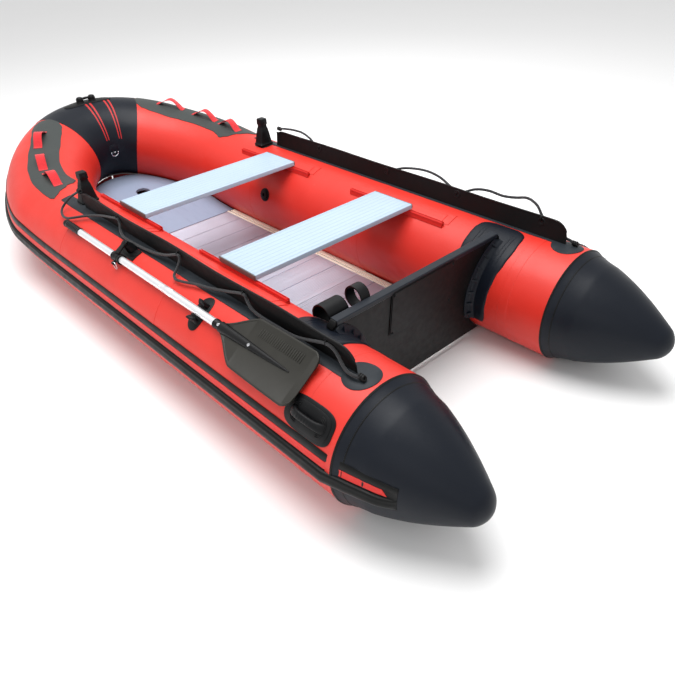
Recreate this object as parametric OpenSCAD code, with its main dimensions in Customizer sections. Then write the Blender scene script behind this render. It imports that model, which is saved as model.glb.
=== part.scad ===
// Inflatable dinghy with a rigid transom, sectional aluminium floor, two bench
// seats and a pair of two-piece oars stowed on the outer flanks.
// Frame: +X starboard, +Y bow, +Z up, origin on the ground under the middle.

/* [Hull] */
// Overall length, bow tip to cone tips
overall_l = 3600; // [3200:10:4400]
// Overall beam over the two tubes
beam = 1540; // [1400:10:1900]
// Diameter of the inflated tubes
tube_d = 458; // [380:2:480]
// Length of each stern cone
cone_l = 405; // [300:5:480]
// Radius of the cone tip
cone_tip_r = 38; // [34:1:80]
// Drop of the cone tip below the tube axis
cone_drop = 6; // [0:1:40]
// Rise of the tube axis at the bow
bow_rise = 170; // [80:5:260]
// Station where the tubes start to rise
shoulder_y = 500; // [400:10:600]
// Station where the tubes start to turn inwards
bend_y = 900; // [800:10:1000]

/* [Transom] */
// Station of the transom's outer face at its foot
transom_y = -1050; // [-1150:5:-950]
// Thickness of the transom board
transom_t = 28; // [20:1:40]
// Height of the transom's top edge above the ground
transom_top = 475; // [440:5:520]
// Backward lean of the transom
transom_rake = 4; // [0:0.5:10]
// Width of the outer motor pad
pad_w = 350; // [260:5:420]
// Height of the motor pads
pad_h = 200; // [150:5:240]
// Thickness of the motor pads
pad_t = 6; // [3:0.5:12]
// Thickness of the rubber saddle that holds the transom
holder_t = 5; // [3:0.5:10]

/* [Floor] */
// Height of the floor panels' top face
floor_top = 78; // [70:1:95]
// Thickness of a floor panel
panel_t = 15; // [10:1:20]
// Width of a floor panel
panel_w = 660; // [560:5:700]
// Width of a side stringer
stringer_w = 30; // [20:1:36]
// Height of a side stringer
stringer_h = 27; // [20:1:32]
// Thickness of the bottom fabric
skin_t = 4; // [3:0.5:6]

/* [Seats] */
// Length of a bench, side to side
seat_l = 870; // [760:5:920]
// Width of a bench, fore and aft
seat_w = 230; // [180:5:260]
// Thickness of a bench plank
seat_t = 22; // [15:1:30]
// Station of the fore bench
fore_seat_y = 287; // [200:1:360]
// Station of the aft bench
aft_seat_y = -520; // [-600:5:-440]
// Length of a seat track
track_l = 560; // [400:10:640]
// Station of the middle of the fore tracks
fore_track_y = 335; // [280:5:400]
// Station of the middle of the aft tracks
aft_track_y = -535; // [-600:5:-480]

/* [Fins] */
// Height of the side flap above the tube
fin_h = 84; // [60:1:120]
// Thickness of the side flap
fin_t = 4; // [2:0.5:6]
// Fore end of the side flap
fin_fore_y = 480; // [350:10:480]
// Aft end of the side flap
fin_aft_y = -1310; // [-1380:10:-1200]
// Angle of the flap round the tube, from outboard
fin_a = 84; // [80:1:86]
// Diameter of the lifeline rope
rope_d = 11; // [8:1:14]

/* [Oars] */
// Angle of a stowed oar round the tube, from outboard
oar_a = 55; // [45:1:60]
// Diameter of the oar shaft
shaft_d = 30; // [24:1:36]
// Gap between the shaft and the tube
shaft_gap = 6; // [3:1:12]
// Fore end of the grip
oar_fore_y = 445; // [400:5:460]
// Aft end of the blade
oar_aft_y = -1205; // [-1260:5:-1150]
// Length of the grip
grip_l = 145; // [100:5:180]
// Length of the blade
blade_l = 420; // [340:5:480]
// Width of the blade
blade_w = 200; // [160:5:204]
// Thickness of the blade
blade_t = 5; // [4:0.5:8]
// Station of the oarlock
lock_y = -45; // [-100:5:0]

/* [Fender] */
// Width of the half-round fender
fender_w = 48; // [30:1:56]
// Depth of the half-round fender
fender_t = 16; // [8:1:24]

/* [Hidden] */
s_unit = 1000; // mm along a straight tube for one unit of s
far = 3000; // longer than any part of the boat that a cut must clear
$fn = 64;

R = tube_d / 2;
cx = beam / 2 - R;
stern_y = -overall_l / 2;
base_y = stern_y + cone_l;
nose_y = overall_l / 2 - R;
seam_s = 0.81;
bow_n = 22;
nose_n = 12;
bow_ss = [for (i = [0 : bow_n]) seam_s * i / bow_n];
nose_ss = [for (i = [0 : nose_n]) seam_s + (2 - 2 * seam_s) * i / nose_n];
straight_share = 0.31;

// ---- tube centreline: s = 0 at the shoulder, 1 at the nose, 2 on the other side
function bez(p, t) = pow(1 - t, 3) * p[0] + 3 * pow(1 - t, 2) * t * p[1]
    + 3 * (1 - t) * t * t * p[2] + t * t * t * p[3];
bx = [cx, cx, cx * 0.72, 0];
by = [bend_y, bend_y + 0.234 * (nose_y - bend_y), nose_y, nose_y];
function plan(s) = s < 0 ? [cx, shoulder_y + s * s_unit]
    : s < straight_share ? [cx, shoulder_y + (bend_y - shoulder_y) * s / straight_share]
    : let (t = (s - straight_share) / (1 - straight_share)) [bez(bx, t), bez(by, t)];
function rise(y) = bow_rise * pow(max(0, (y - shoulder_y) / (nose_y - shoulder_y)), 2.3);
function drop(y) = cone_drop * max(0, (base_y - y) / cone_l);
function rad(y) = R - (R - cone_tip_r) * max(0, (base_y - y) / cone_l);
function centre(s) = s > 1 ? let (q = centre(2 - s)) [-q[0], q[1], q[2]]
    : let (p = plan(s)) [p[0], p[1], R + rise(p[1]) - drop(p[1])];
function unit(v) = v / norm(v);
function tang(s) = s < 0.0005 ? [0, 1, 0]
    : s > 1.9995 ? [0, -1, 0]
    : unit(centre(min(s + 0.004, 2)) - centre(s - 0.004));
function upv(s) = let (t = tang(s)) unit([0, 0, 1] - t[2] * t);
function outv(s) = cross(tang(s), upv(s));
// a point at angle a round the tube, height h off its surface
function on(s, a, h) = centre(s)
    + (rad(centre(s)[1]) + h) * (cos(a) * outv(s) + sin(a) * upv(s));
function s_of(y) = (y - shoulder_y) / s_unit;

function ring_faces(m, n) = concat(
    [for (i = [0 : m - 2], j = [0 : n - 1]) [i * n + j, (i + 1) * n + j, i * n + (j + 1) % n]],
    [for (i = [0 : m - 2], j = [0 : n - 1])
        [i * n + (j + 1) % n, (i + 1) * n + j, (i + 1) * n + (j + 1) % n]],
    [[for (j = [0 : n - 1]) j]],
    [[for (j = [n - 1 : -1 : 0]) (m - 1) * n + j]]);

module sweep(ss, prof) {
    polyhedron(points = [for (s = ss, q = prof) on(s, q[0], q[1])],
        faces = ring_faces(len(ss), len(prof)), convexity = 6);
}
module both() {
    children();
    mirror([1, 0, 0]) children();
}
module port() { mirror([1, 0, 0]) children(); }

round_prof = [for (i = [0 : 47]) [i * 7.5, 0]];

module straight_tube() {
    translate([cx, base_y, R]) rotate([-90, 0, 0])
        cylinder(r = R, h = shoulder_y - base_y, $fn = 96);
}
module bow_tube() { sweep(bow_ss, round_prof); }
module nose_tube() {
    sweep([for (i = [0 : nose_n]) i == 0 ? seam_s + 0.0003
        : i == nose_n ? 1.9997 - seam_s : nose_ss[i]], round_prof);
}
module cone_end() {
    hull() {
        translate([cx, base_y - 0.5, R]) rotate([-90, 0, 0]) cylinder(r = R, h = 0.5, $fn = 72);
        translate([cx, stern_y + 12, R - cone_drop]) rotate([-90, 0, 0])
            cylinder(r = cone_tip_r, h = 4, $fn = 36);
        translate([cx, stern_y, R - cone_drop]) rotate([-90, 0, 0])
            cylinder(r = cone_tip_r - 12, h = 4, $fn = 36);
    }
}

module port_tube() { color("crimson") port() straight_tube(); }
module starboard_tube() { color("crimson") straight_tube(); }
module port_bow() { color("crimson") port() bow_tube(); }
module starboard_bow() { color("crimson") bow_tube(); }
module bow_nose() { color("midnightblue") nose_tube(); }
module port_cone() { color("midnightblue") port() cone_end(); }
module starboard_cone() { color("midnightblue") cone_end(); }

// ---- bottom: a shallow V of fabric between the tubes, rising to the bow
skin_a = 240;
skin_gap = 6;
skin_foot = 14;
skin_x = cx + (R + skin_gap) * cos(skin_a);
skin_z = R + (R + skin_gap) * sin(skin_a);
skin_fore = 560;
skin_aft = transom_y + transom_t + 6;
module bottom_skin() {
    color("darkred") translate([0, skin_fore, 0]) rotate([90, 0, 0])
        linear_extrude(skin_fore - skin_aft)
        polygon([[-skin_x, skin_z], [0, skin_foot], [skin_x, skin_z],
            [skin_x, skin_z + skin_t], [0, skin_foot + skin_t], [-skin_x, skin_z + skin_t]]);
}
s_fore = straight_share * (skin_fore + 1 - shoulder_y) / (bend_y - shoulder_y);
skin_ss = [for (i = [0 : 18]) (0.97 * i + (18 - i) * s_fore) / 18];
function skin_mid(p) = skin_foot + 0.55 * (p[2] - skin_z);
module bow_skin() {
    e = [for (s = skin_ss) on(s, skin_a, skin_gap + 1)];
    m = len(e);
    w = [-1, -0.67, -0.33, 0, 0.33, 0.67, 1];
    color("darkred") polyhedron(
        points = [for (i = [0 : m - 1]) let (p = e[i], q = skin_mid(p)) each concat(
            [for (c = w) [p[0] * c, p[1], p[2] * abs(c) + q * (1 - abs(c))]],
            [for (c = w) [-p[0] * c, p[1], p[2] * abs(c) + q * (1 - abs(c)) + skin_t]])],
        faces = ring_faces(m, 14), convexity = 4);
}
// air keel between the bottom and the floor panels
keel_h = 38;
keel_w = 120;
keel_gap = 2;
module keel() {
    color("darkred") translate([0, skin_fore, skin_foot + skin_t + keel_gap + keel_h / 2])
        rotate([90, 0, 0]) linear_extrude(skin_fore - transom_y - 60) {
            square([keel_w - keel_h, keel_h], center = true);
            for (q = [-1, 1]) translate([q * (keel_w - keel_h) / 2, 0]) circle(r = keel_h / 2);
        }
}

// ---- transom
transom_foot = 34;
tr_h = (transom_top - transom_foot) / cos(transom_rake);
module raked() {
    translate([0, transom_y, transom_foot]) rotate([transom_rake, 0, 0]) children();
}
module tube_cut(extra) {
    both() translate([cx, transom_y - 350, R]) rotate([-90, 0, 0])
        cylinder(r = R + extra, h = 700, $fn = 96);
}
module transom() {
    w = cx - 81;
    color("#202124") difference() {
        raked() rotate([90, 0, 0]) translate([0, 0, -transom_t]) linear_extrude(transom_t)
            polygon([[-w, 0], [w, 0], [w, tr_h - 22], [w - 22, tr_h], [-w + 22, tr_h],
                [-w, tr_h - 22]]);
        tube_cut(holder_t);
    }
}
module motor_pads() {
    color("#17181a") raked() {
        translate([-pad_w / 2, -pad_t, tr_h - pad_h]) cube([pad_w, pad_t, pad_h]);
        translate([-pad_w / 2, transom_t, tr_h - pad_h]) cube([pad_w, pad_t, pad_h]);
    }
}
// rubber saddle: a wide lobe on top of the tube and a narrower one down its inner side
lobe_l = 235;
lobe_y = transom_y - 12;
side_l = 165;
hold_a = 89;
cheek_w = 34;
module tube_shell(y0, y1, r0, r1) {
    difference() {
        translate([cx, y0, R]) rotate([-90, 0, 0]) cylinder(r = r1, h = y1 - y0, $fn = 96);
        translate([cx, y0 - 5, R]) rotate([-90, 0, 0])
            cylinder(r = r0, h = y1 - y0 + 10, $fn = 96);
    }
}
module wedge_cut(a0, a1) {
    // sector of the tube's cross-section from angle a0 to a1, measured from outboard
    translate([cx, far / 3, R]) rotate([90, 0, 0]) linear_extrude(far)
        polygon(concat([[0, 0]], [for (i = [0 : 6]) let (a = a0 + (a1 - a0) * i / 6)
            [600 * cos(a), 600 * sin(a)]]));
}
module holder() {
    intersection() {
        tube_shell(lobe_y - lobe_l / 2, lobe_y + lobe_l / 2, R, R + holder_t);
        wedge_cut(hold_a, 150);
    }
    intersection() {
        tube_shell(lobe_y - side_l / 2, lobe_y + side_l / 2, R, R + holder_t);
        wedge_cut(150.01, 208);
    }
    for (q = [0, 1]) difference() {
        intersection() {
            raked() translate([0, q == 0 ? -13 : transom_t + 1, q == 0 ? 12 : floor_top - 20])
                cube([cx - 30, 12, q == 0 ? tr_h - 8 : tr_h - 46]);
            translate([cx, transom_y - 200, R]) rotate([-90, 0, 0])
                cylinder(r = R + cheek_w, h = 400, $fn = 96);
        }
        translate([cx, transom_y - 300, R]) rotate([-90, 0, 0])
            cylinder(r = R + holder_t, h = 600, $fn = 96);
    }
}
module transom_holders() { color("#232427") both() holder(); }
// rubber sleeve and ring on the inner face, for a motor's safety strap
loop_wall = 5;
ring_r = 42;
sleeve_r = 46;
module loop_ring(r, w) {
    rotate([0, 90, 0]) difference() {
        cylinder(r = r, h = w, center = true);
        cylinder(r = r - loop_wall, h = w + 2, center = true);
    }
}
module stern_loops() {
    color("#1c1d20") {
        raked() translate([-272, transom_t + ring_r + 0.3, tr_h - 4]) loop_ring(ring_r, 42);
        difference() {
            raked() translate([-380, transom_t + 14 + sleeve_r, tr_h - 34])
                loop_ring(sleeve_r, 90);
            tube_cut(holder_t + 1);
        }
    }
}

// ---- floor
panel_y = [transom_y + transom_t + 17, -385, 160, 700];
module panel(y0, y1) {
    color("#c9ccd0") translate([-panel_w / 2, y0 + 1, floor_top - panel_t])
        cube([panel_w, y1 - y0 - 2, panel_t]);
}
module aft_panel() { panel(panel_y[0], panel_y[1]); }
module mid_panel() { panel(panel_y[1], panel_y[2]); }
module fore_panel() { panel(panel_y[2], panel_y[3]); }
// bow board: its edge follows the tube's inner side, tucked under its curve
board_slope = 9;
board_gap = 6;
board_tuck = sin(50);
board_hole = [52, 482];
board_hole_r = 42;
function board_z(y) = floor_top + (y - panel_y[3]) * tan(board_slope);
function board_a(s, y) = 180
    + asin(min(board_tuck, (centre(s)[2] - board_z(y)) / (R + board_gap)));
function board_edge(s) = let (y = on(s, board_a(s, centre(s)[1]), board_gap)[1],
    p = on(s, board_a(s, y), board_gap)) [p[0], (p[1] - panel_y[3] - 2) / cos(board_slope)];
s_board = straight_share * (panel_y[3] + 6 - shoulder_y) / (bend_y - shoulder_y);
board_ss = [for (i = [0 : 18]) s_board + (1 - s_board) * i / 18];
module bow_board() {
    edge = [for (s = board_ss) board_edge(s)];
    outline = concat([[panel_w / 2, 0], [edge[0][0], 0]], edge,
        [for (i = [17 : -1 : 0]) [-edge[i][0], edge[i][1]]],
        [[-edge[0][0], 0], [-panel_w / 2, 0]]);
    color("slategray") translate([0, panel_y[3] + 2, floor_top]) rotate([board_slope, 0, 0])
        difference() {
            translate([0, 0, -panel_t]) linear_extrude(panel_t) polygon(outline);
            translate([board_hole[0], board_hole[1], -panel_t - 1])
                cylinder(r = board_hole_r, h = panel_t + 2);
        }
}
module stringers() {
    color("#e4dfce") both() translate([panel_w / 2 + 1, panel_y[0] + 80, floor_top - panel_t - 4])
        difference() {
            cube([stringer_w, panel_y[3] - panel_y[0] - 100, stringer_h]);
            translate([-1, -1, 4]) cube([12, far, panel_t]);
        }
}

// ---- seats: each plank has a bead rail at both ends that runs in a channel
seat_z = 452;
rail_x = seat_l / 2 - 10;
rail_l = 200;
bead_r = 4.5;
bead_clear = 0.5;
bead_z = seat_z - 10.5;
module plank(y) {
    color("#dfe6ee") translate([0, y, 0]) {
        translate([-seat_l / 2, -seat_w / 2, seat_z]) cube([seat_l, seat_w, seat_t]);
        for (q = [-1, 1]) translate([q * rail_x, -rail_l / 2, bead_z]) {
            rotate([-90, 0, 0]) cylinder(r = bead_r, h = rail_l);
            translate([-1.2, 0, 0]) cube([2.4, rail_l, seat_z - bead_z]);
        }
    }
}
module fore_seat() { plank(fore_seat_y); }
module aft_seat() { plank(aft_seat_y); }
module track(y) {
    difference() {
        translate([rail_x - 11, y - track_l / 2, seat_z - 60]) cube([22, track_l, 57.5]);
        translate([cx, y - far / 6, R]) rotate([-90, 0, 0]) cylinder(r = R + 1.5, h = far / 3, $fn = 96);
        translate([rail_x, y - 500, bead_z]) rotate([-90, 0, 0])
            cylinder(r = bead_r + bead_clear, h = far / 3);
        translate([rail_x - 2, y - far / 6, bead_z]) cube([4, far / 3, 20]);
    }
    intersection() {
        tube_shell(y - track_l / 2 - 20, y + track_l / 2 + 20, R + 1.5, R + 4);
        wedge_cut(100, acos((rail_x + 12 - cx) / (R + 4)));
    }
}
module seat_tracks() {
    color("firebrick") both() {
        track(fore_track_y);
        track(aft_track_y);
    }
}

// ---- side flaps
grommet_y = [130, -350, -770, -1190];
grommet_drop = 26;
band_fore_y = 680;
module fin() {
    len_f = fin_fore_y - fin_aft_y;
    translate([cx, fin_aft_y, R]) rotate([0, 90 - fin_a, 0]) translate([-fin_t / 2, 0, R + 1.5])
        rotate([90, 0, 90]) linear_extrude(fin_t) difference() {
            union() {
                translate([60, 0]) square([len_f - 60, fin_h]);
                translate([60, fin_h - 60]) circle(r = 60);
                square([61, fin_h - 60]);
            }
            translate([-10, -60]) square([200, 60]);
            for (y = grommet_y) translate([y - fin_aft_y, fin_h - grommet_drop]) {
                for (q = [-8, 8]) translate([q, 0]) circle(r = 8);
                square([16, 16], center = true);
            }
        }
    intersection() {
        tube_shell(fin_aft_y, shoulder_y, R, R + 3);
        wedge_cut(74, 88);
    }
    patch([for (i = [0 : 4]) 0.002 + straight_share * (band_fore_y - shoulder_y)
        / (bend_y - shoulder_y) * i / 4], 74, 88, 0.5, 3);
    intersection() {
        tube_shell(fin_aft_y - 80, fin_aft_y + 1, R, R + 3);
        translate([cx + 18, fin_aft_y - 10, R]) cylinder(r = 62, h = 400);
    }
}
module port_fin() { color("#26262b") port() fin(); }
module starboard_fin() { color("#26262b") fin(); }

// ---- lifelines: rope from the flap's fore end, past its four grommets, to the stern
port_rope = [[581, 470, 547], [586, 502, 530], [604, 548, 500], [634, 570, 464],
    [656, 552, 448], [668, 512, 440], [664, 470, 442], [646, 430, 452], [622, 390, 462],
    [600, 340, 473], [586, 280, 486], [580, 210, 500], [579.5, 130, 516], [580, 110, 502],
    [592, 92, 480], [601, 60, 467], [603, 20, 465], [602, -40, 465], [599, -110, 467],
    [593, -190, 473], [585, -270, 488], [579.5, -350, 516], [582, -366, 500],
    [602, -372, 474], [624, -382, 459], [634, -410, 455], [628, -450, 458], [612, -510, 465],
    [598, -590, 474], [585, -680, 492], [579.5, -770, 516], [580, -790, 500],
    [586, -820, 482], [588, -880, 473], [588, -960, 473], [587, -1050, 478],
    [582, -1120, 495], [579.5, -1190, 516], [579, -1230, 508], [586, -1262, 488],
    [592, -1290, 474], [590, -1320, 470], [578, -1345, 469]];
starboard_rope = [[581, 470, 547], [582, 420, 556], [592, 350, 560], [598, 290, 556],
    [596, 230, 540], [584, 180, 524], [579.5, 130, 516], [580, 110, 502], [592, 92, 480],
    [601, 60, 467], [603, 20, 465], [602, -40, 465], [599, -110, 467], [593, -190, 473],
    [585, -270, 488], [579.5, -350, 516], [580, -390, 528], [590, -440, 545],
    [600, -510, 556], [602, -580, 560], [598, -650, 552], [586, -720, 532],
    [579.5, -770, 516], [580, -800, 530], [592, -850, 552], [600, -910, 560],
    [602, -980, 556], [600, -1040, 566], [596, -1100, 582], [588, -1150, 570],
    [582, -1180, 540], [579.5, -1205, 512], [581, -1240, 492], [588, -1275, 476],
    [590, -1310, 470], [578, -1345, 469]];
function rope_t(p, i) = unit(p[min(i + 1, len(p) - 1)] - p[max(i - 1, 0)]);
module rope(p) {
    n = 8;
    m = len(p);
    polyhedron(points = [for (i = [0 : m - 1]) let (t = rope_t(p, i), a = unit(cross(t, [0, 0, 1])),
            b = cross(a, t)) for (j = [0 : n - 1])
            p[i] + rope_d / 2 * (cos(j * 360 / n) * a - sin(j * 360 / n) * b)],
        faces = ring_faces(m, n), convexity = 8);
}
module port_lifeline() { color("#2b2b2e") port() rope(port_rope); }
module starboard_lifeline() { color("#2b2b2e") rope(starboard_rope); }

// ---- fender along the widest line
strake_ss = concat([s_of(base_y - 200), s_of(base_y)], bow_ss,
    [for (i = [1 : nose_n / 2]) nose_ss[i]]);
fend_a = -1;
fend_h = fender_w / 2 / R * 180 / PI;
band_a = [13.5, 20];
strake_prof = concat([[band_a[1], 0.6], [band_a[1], 3], [band_a[0], 3], [band_a[0], 2],
    [fend_a + fend_h, 2]],
    [for (i = [1 : 5]) [fend_a + fend_h * cos(i * 30), 2 + fender_t * sin(i * 30)]],
    [[fend_a - fend_h, 2], [fend_a - fend_h, 0.6], [fend_a, 0.6], [fend_a + fend_h, 0.6],
    [(fend_a + fend_h + band_a[0]) / 2, 0.6], [band_a[0], 0.6]]);
module strake() { sweep(strake_ss, strake_prof); }
module port_strake() { color("#1e1f22") port() strake(); }
module starboard_strake() { color("#1e1f22") strake(); }

// ---- placing on the bow: local x runs round the tube, y along it, z outwards
module at_tube(s, a) {
    p = on(s, a, 0);
    t = tang(s);
    z = unit(p - centre(s));
    x = cross(t, z);
    multmatrix([[x[0], t[0], z[0], p[0]], [x[1], t[1], z[1], p[1]], [x[2], t[2], z[2], p[2]],
        [0, 0, 0, 1]]) children();
}
module patch(ss, a0, a1, h0, h1) {
    n = 6;
    sweep(ss, concat([for (i = [0 : n]) [a0 + (a1 - a0) * i / n, h0]],
        [for (i = [n : -1 : 0]) [a0 + (a1 - a0) * i / n, h1]]));
}
module bow_handle() {
    color("#1b1c1f") {
        patch([0.955, 0.97, 0.985, 1, 1.015, 1.03, 1.045], 84, 98, 0.6, 4);
        at_tube(1, 91) translate([0, 0, 3.5]) {
            for (q = [-1, 1]) translate([0, q * 46, 0]) cylinder(r = 21, h = 22);
            for (q = [-1, 1]) translate([0, q * 46, 22]) cylinder(r1 = 21, r2 = 14, h = 8);
            translate([-10, -46, 16]) cube([20, 92, 12]);
        }
    }
}
ring_a = 186;
module ring_patch() {
    color("#1d2230") {
        patch([0.965, 0.98, 1, 1.02, 1.035], ring_a - 11, ring_a + 11, 0.6, 3.5);
        at_tube(1, ring_a) for (q = [-1, 1]) translate([0, q * 11, 3]) difference() {
            translate([-6, -4, 0]) cube([12, 8, 14]);
            translate([0, -5, 9]) rotate([-90, 0, 0]) cylinder(r = 3.1, h = 10);
        }
    }
}
module bow_ring() {
    color("silver") at_tube(1, ring_a) translate([0, 0, 12]) {
        difference() {
            rotate_extrude() translate([22, 0]) circle(r = 3, $fn = 24);
            translate([0, -40, -10]) cube([40, 80, 20]);
        }
        translate([0, -22, 0]) rotate([-90, 0, 0]) cylinder(r = 3, h = 44, $fn = 24);
    }
}

// rubber lifting handle: a patch on the tube with a bar that stands off it
handle_y = -1275;
module lift_handle() {
    intersection() {
        tube_shell(handle_y - 95, handle_y + 95, R, R + 4);
        wedge_cut(21, 48);
    }
    translate([cx, handle_y, R]) rotate([0, 90 - 35, 0]) translate([0, 0, R + 2]) difference() {
        union() {
            translate([-17, -70, 0]) cube([34, 140, 30]);
        }
        translate([-20, -44, 1]) cube([40, 88, 18]);
    }
}
module stern_handles() { color("#1b1c1f") both() lift_handle(); }

// webbing loops on a long pad over the shoulder of the bow
grab_s = [0.34, 0.53, 0.70];
grab_w = 44;
grab_l = 170;
grab_h = 44;
module grab_side() {
    patch([for (i = [0 : 14]) 0.18 + 0.66 * i / 14], 72, 110, 1.6, 3.6);
    for (s = grab_s) at_tube(s, 90) translate([-grab_w / 2, 0, 3.4]) rotate([90, 0, 90])
        linear_extrude(grab_w) intersection() {
            translate([-grab_l / 2, 0]) square([grab_l, 100]);
            translate([0, grab_h - 104.5]) difference() {
                circle(r = 104.5);
                circle(r = 101.5);
            }
        }
}
module port_grabs() { color("#c02030") port() grab_side(); }
module starboard_grabs() { color("#c02030") grab_side(); }

// rubber bracket that stands ahead of the side flap
post_y = 545;
post_x = cx - 18;
post_lift = 4.5;
module post() {
    translate([post_x, post_y, tube_d + post_lift]) {
        rotate([90, 0, 0]) translate([0, 0, -28]) linear_extrude(56)
            polygon([[-38, 0], [38, 0], [17, 92], [-17, 92]]);
        translate([-13, -15, 91.5]) cube([26, 30, 18]);
        translate([-17, -19, 109]) cube([34, 38, 31]);
    }
}
module posts() { color("#17181b") both() post(); }

valve_r = 9;
module valve_side() {
    difference() {
        translate([cx, 304, R]) rotate([0, 90 - 164, 0]) translate([0, 0, R - 5]) difference() {
            union() {
                cylinder(r = 34, h = 9);
                cylinder(r = 24, h = 17);
            }
            translate([0, 0, 8]) cylinder(r = valve_r, h = 12);
        }
        translate([cx, 204, R]) rotate([-90, 0, 0]) cylinder(r = R + 0.2, h = 200, $fn = 96);
    }
}
module valves() { color("#222222") both() valve_side(); }

// ---- oars: local x outboard and down, y towards the bow, z away from the tube
oar_n = R + shaft_gap + shaft_d / 2;
module oar_frame() {
    translate([cx, 0, R]) rotate([0, 90 - oar_a, 0]) translate([0, 0, oar_n]) children();
}
module along(y0, y1, r) {
    translate([0, y0, 0]) rotate([-90, 0, 0]) cylinder(r = r, h = y1 - y0);
}
blade_fore = oar_aft_y + blade_l;
module shaft() {
    oar_frame() along(blade_fore + 45, oar_fore_y - grip_l, shaft_d / 2);
}
module grip() {
    oar_frame() along(oar_fore_y - grip_l + 0.2, oar_fore_y, 17);
}
module blade() {
    hw = blade_w / 2;
    oar_frame() {
        along(blade_fore - 20, blade_fore + 44.8, 17);
        translate([0, 0, -blade_t / 2]) linear_extrude(blade_t)
            polygon([[-22, blade_fore], [-hw * 0.8, blade_fore - 110], [-hw, oar_aft_y + 60],
                [-hw * 0.8, oar_aft_y], [hw * 0.8, oar_aft_y], [hw, oar_aft_y + 60],
                [hw * 0.8, blade_fore - 110], [22, blade_fore]]);
    }
}
// the collar's arm reaches inboard and its pin drops into a rubber cone on the tube
pin_x = -62;
pin_r = 6;
pin_clear = 0.2;
module oarlock() {
    oar_frame() {
        difference() {
            union() {
                along(lock_y - 30, lock_y + 30, 20.5);
                translate([pin_x, lock_y - 12, 14]) cube([-pin_x, 24, 10]);
            }
            along(lock_y - 40, lock_y + 40, shaft_d / 2);
        }
        translate([pin_x, lock_y, 14]) cylinder(r = 14, h = 10);
        translate([pin_x, lock_y, -16]) cylinder(r = pin_r, h = 32);
        translate([20, lock_y, 0]) rotate([0, 90, 0]) cylinder(r = 5, h = 14);
        translate([33, lock_y - 8, -3]) cube([4, 16, 6]);
    }
}
module lock_base() {
    intersection() {
        tube_shell(lock_y - 60, lock_y + 60, R + 0.2, R + 3);
        wedge_cut(60, 73.5);
    }
    difference() {
        oar_frame() difference() {
            translate([pin_x, lock_y, -50]) cylinder(r1 = 30, r2 = 15, h = 62);
            translate([pin_x, lock_y, -20]) cylinder(r = pin_r + pin_clear, h = 60);
            along(lock_y - 60, lock_y + 60, 28);
        }
        translate([cx, lock_y - 100, R]) rotate([-90, 0, 0])
            cylinder(r = R + 3, h = 200, $fn = 96);
        wedge_cut(74, 120);
    }
}
module oarlock_bases() { color("#202124") both() lock_base(); }
clip_y = -620;
clip_gap = 1;
module clip() {
    difference() {
        oar_frame() union() {
            translate([-45, clip_y - 18, -35]) cube([22, 36, 48]);
            translate([23, clip_y - 18, -35]) cube([22, 36, 48]);
            translate([-45, clip_y - 18, -50]) cube([90, 36, 50 - shaft_d / 2 - clip_gap - 2]);
        }
        oar_frame() {
            along(clip_y - 30, clip_y + 30, shaft_d / 2 + clip_gap);
            translate([-shaft_d / 2 - 9, clip_y - 30, -shaft_d / 2]) cube([shaft_d + 18, 60, 80]);
        }
        translate([cx, clip_y - 100, R]) rotate([-90, 0, 0])
            cylinder(r = R + 0.3, h = 200, $fn = 96);
    }
}
module oar_clips() { color("#202124") both() clip(); }

module port_oarlock() { color("#26272a") port() oarlock(); }
module port_shaft() { color("#d8dade") port() shaft(); }
module port_grip() { color("#1d1d20") port() grip(); }
module port_blade() { color("#35343a") port() blade(); }
module starboard_oarlock() { color("#26272a") oarlock(); }
module starboard_shaft() { color("#d8dade") shaft(); }
module starboard_grip() { color("#1d1d20") grip(); }
module starboard_blade() { color("#35343a") blade(); }

port_tube();
starboard_tube();
port_bow();
starboard_bow();
bow_nose();
port_cone();
starboard_cone();
bottom_skin();
bow_skin();
keel();
transom();
motor_pads();
transom_holders();
stern_loops();
bow_board();
fore_panel();
mid_panel();
aft_panel();
stringers();
fore_seat();
aft_seat();
seat_tracks();
port_fin();
starboard_fin();
port_lifeline();
starboard_lifeline();
port_strake();
starboard_strake();
bow_handle();
bow_ring();
ring_patch();
stern_handles();
port_grabs();
starboard_grabs();
posts();
valves();
oarlock_bases();
oar_clips();
port_oarlock();
port_shaft();
port_grip();
port_blade();
starboard_oarlock();
starboard_shaft();
starboard_grip();
starboard_blade();
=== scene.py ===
"""Looks of an inflatable dinghy with a rigid transom, aluminium floor, benches and stowed oars.

Everything is in metres in the CAD's frame: +X starboard, +Y bow, +Z up. Both flanks are
built from the starboard one by mirroring in x.
"""

from math import acos, copysign, cos, degrees, pi, radians, sin, sqrt, tan

import bmesh
import bpy
from mathutils import Matrix, Vector


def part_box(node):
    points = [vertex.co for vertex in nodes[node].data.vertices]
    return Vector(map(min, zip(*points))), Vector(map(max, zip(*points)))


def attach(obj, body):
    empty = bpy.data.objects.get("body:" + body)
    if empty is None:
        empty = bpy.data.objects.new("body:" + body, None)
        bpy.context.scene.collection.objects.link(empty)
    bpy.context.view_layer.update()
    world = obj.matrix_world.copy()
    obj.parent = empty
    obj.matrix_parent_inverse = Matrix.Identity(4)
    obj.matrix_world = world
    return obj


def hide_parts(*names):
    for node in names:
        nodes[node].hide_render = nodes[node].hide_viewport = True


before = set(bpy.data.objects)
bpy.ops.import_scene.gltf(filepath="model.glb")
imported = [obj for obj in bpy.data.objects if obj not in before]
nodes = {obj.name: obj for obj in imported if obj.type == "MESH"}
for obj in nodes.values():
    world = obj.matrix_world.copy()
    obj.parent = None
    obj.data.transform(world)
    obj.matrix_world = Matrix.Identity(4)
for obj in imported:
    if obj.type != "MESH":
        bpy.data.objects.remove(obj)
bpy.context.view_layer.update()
SIDES = {"starboard": 1, "port": -1}

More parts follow.
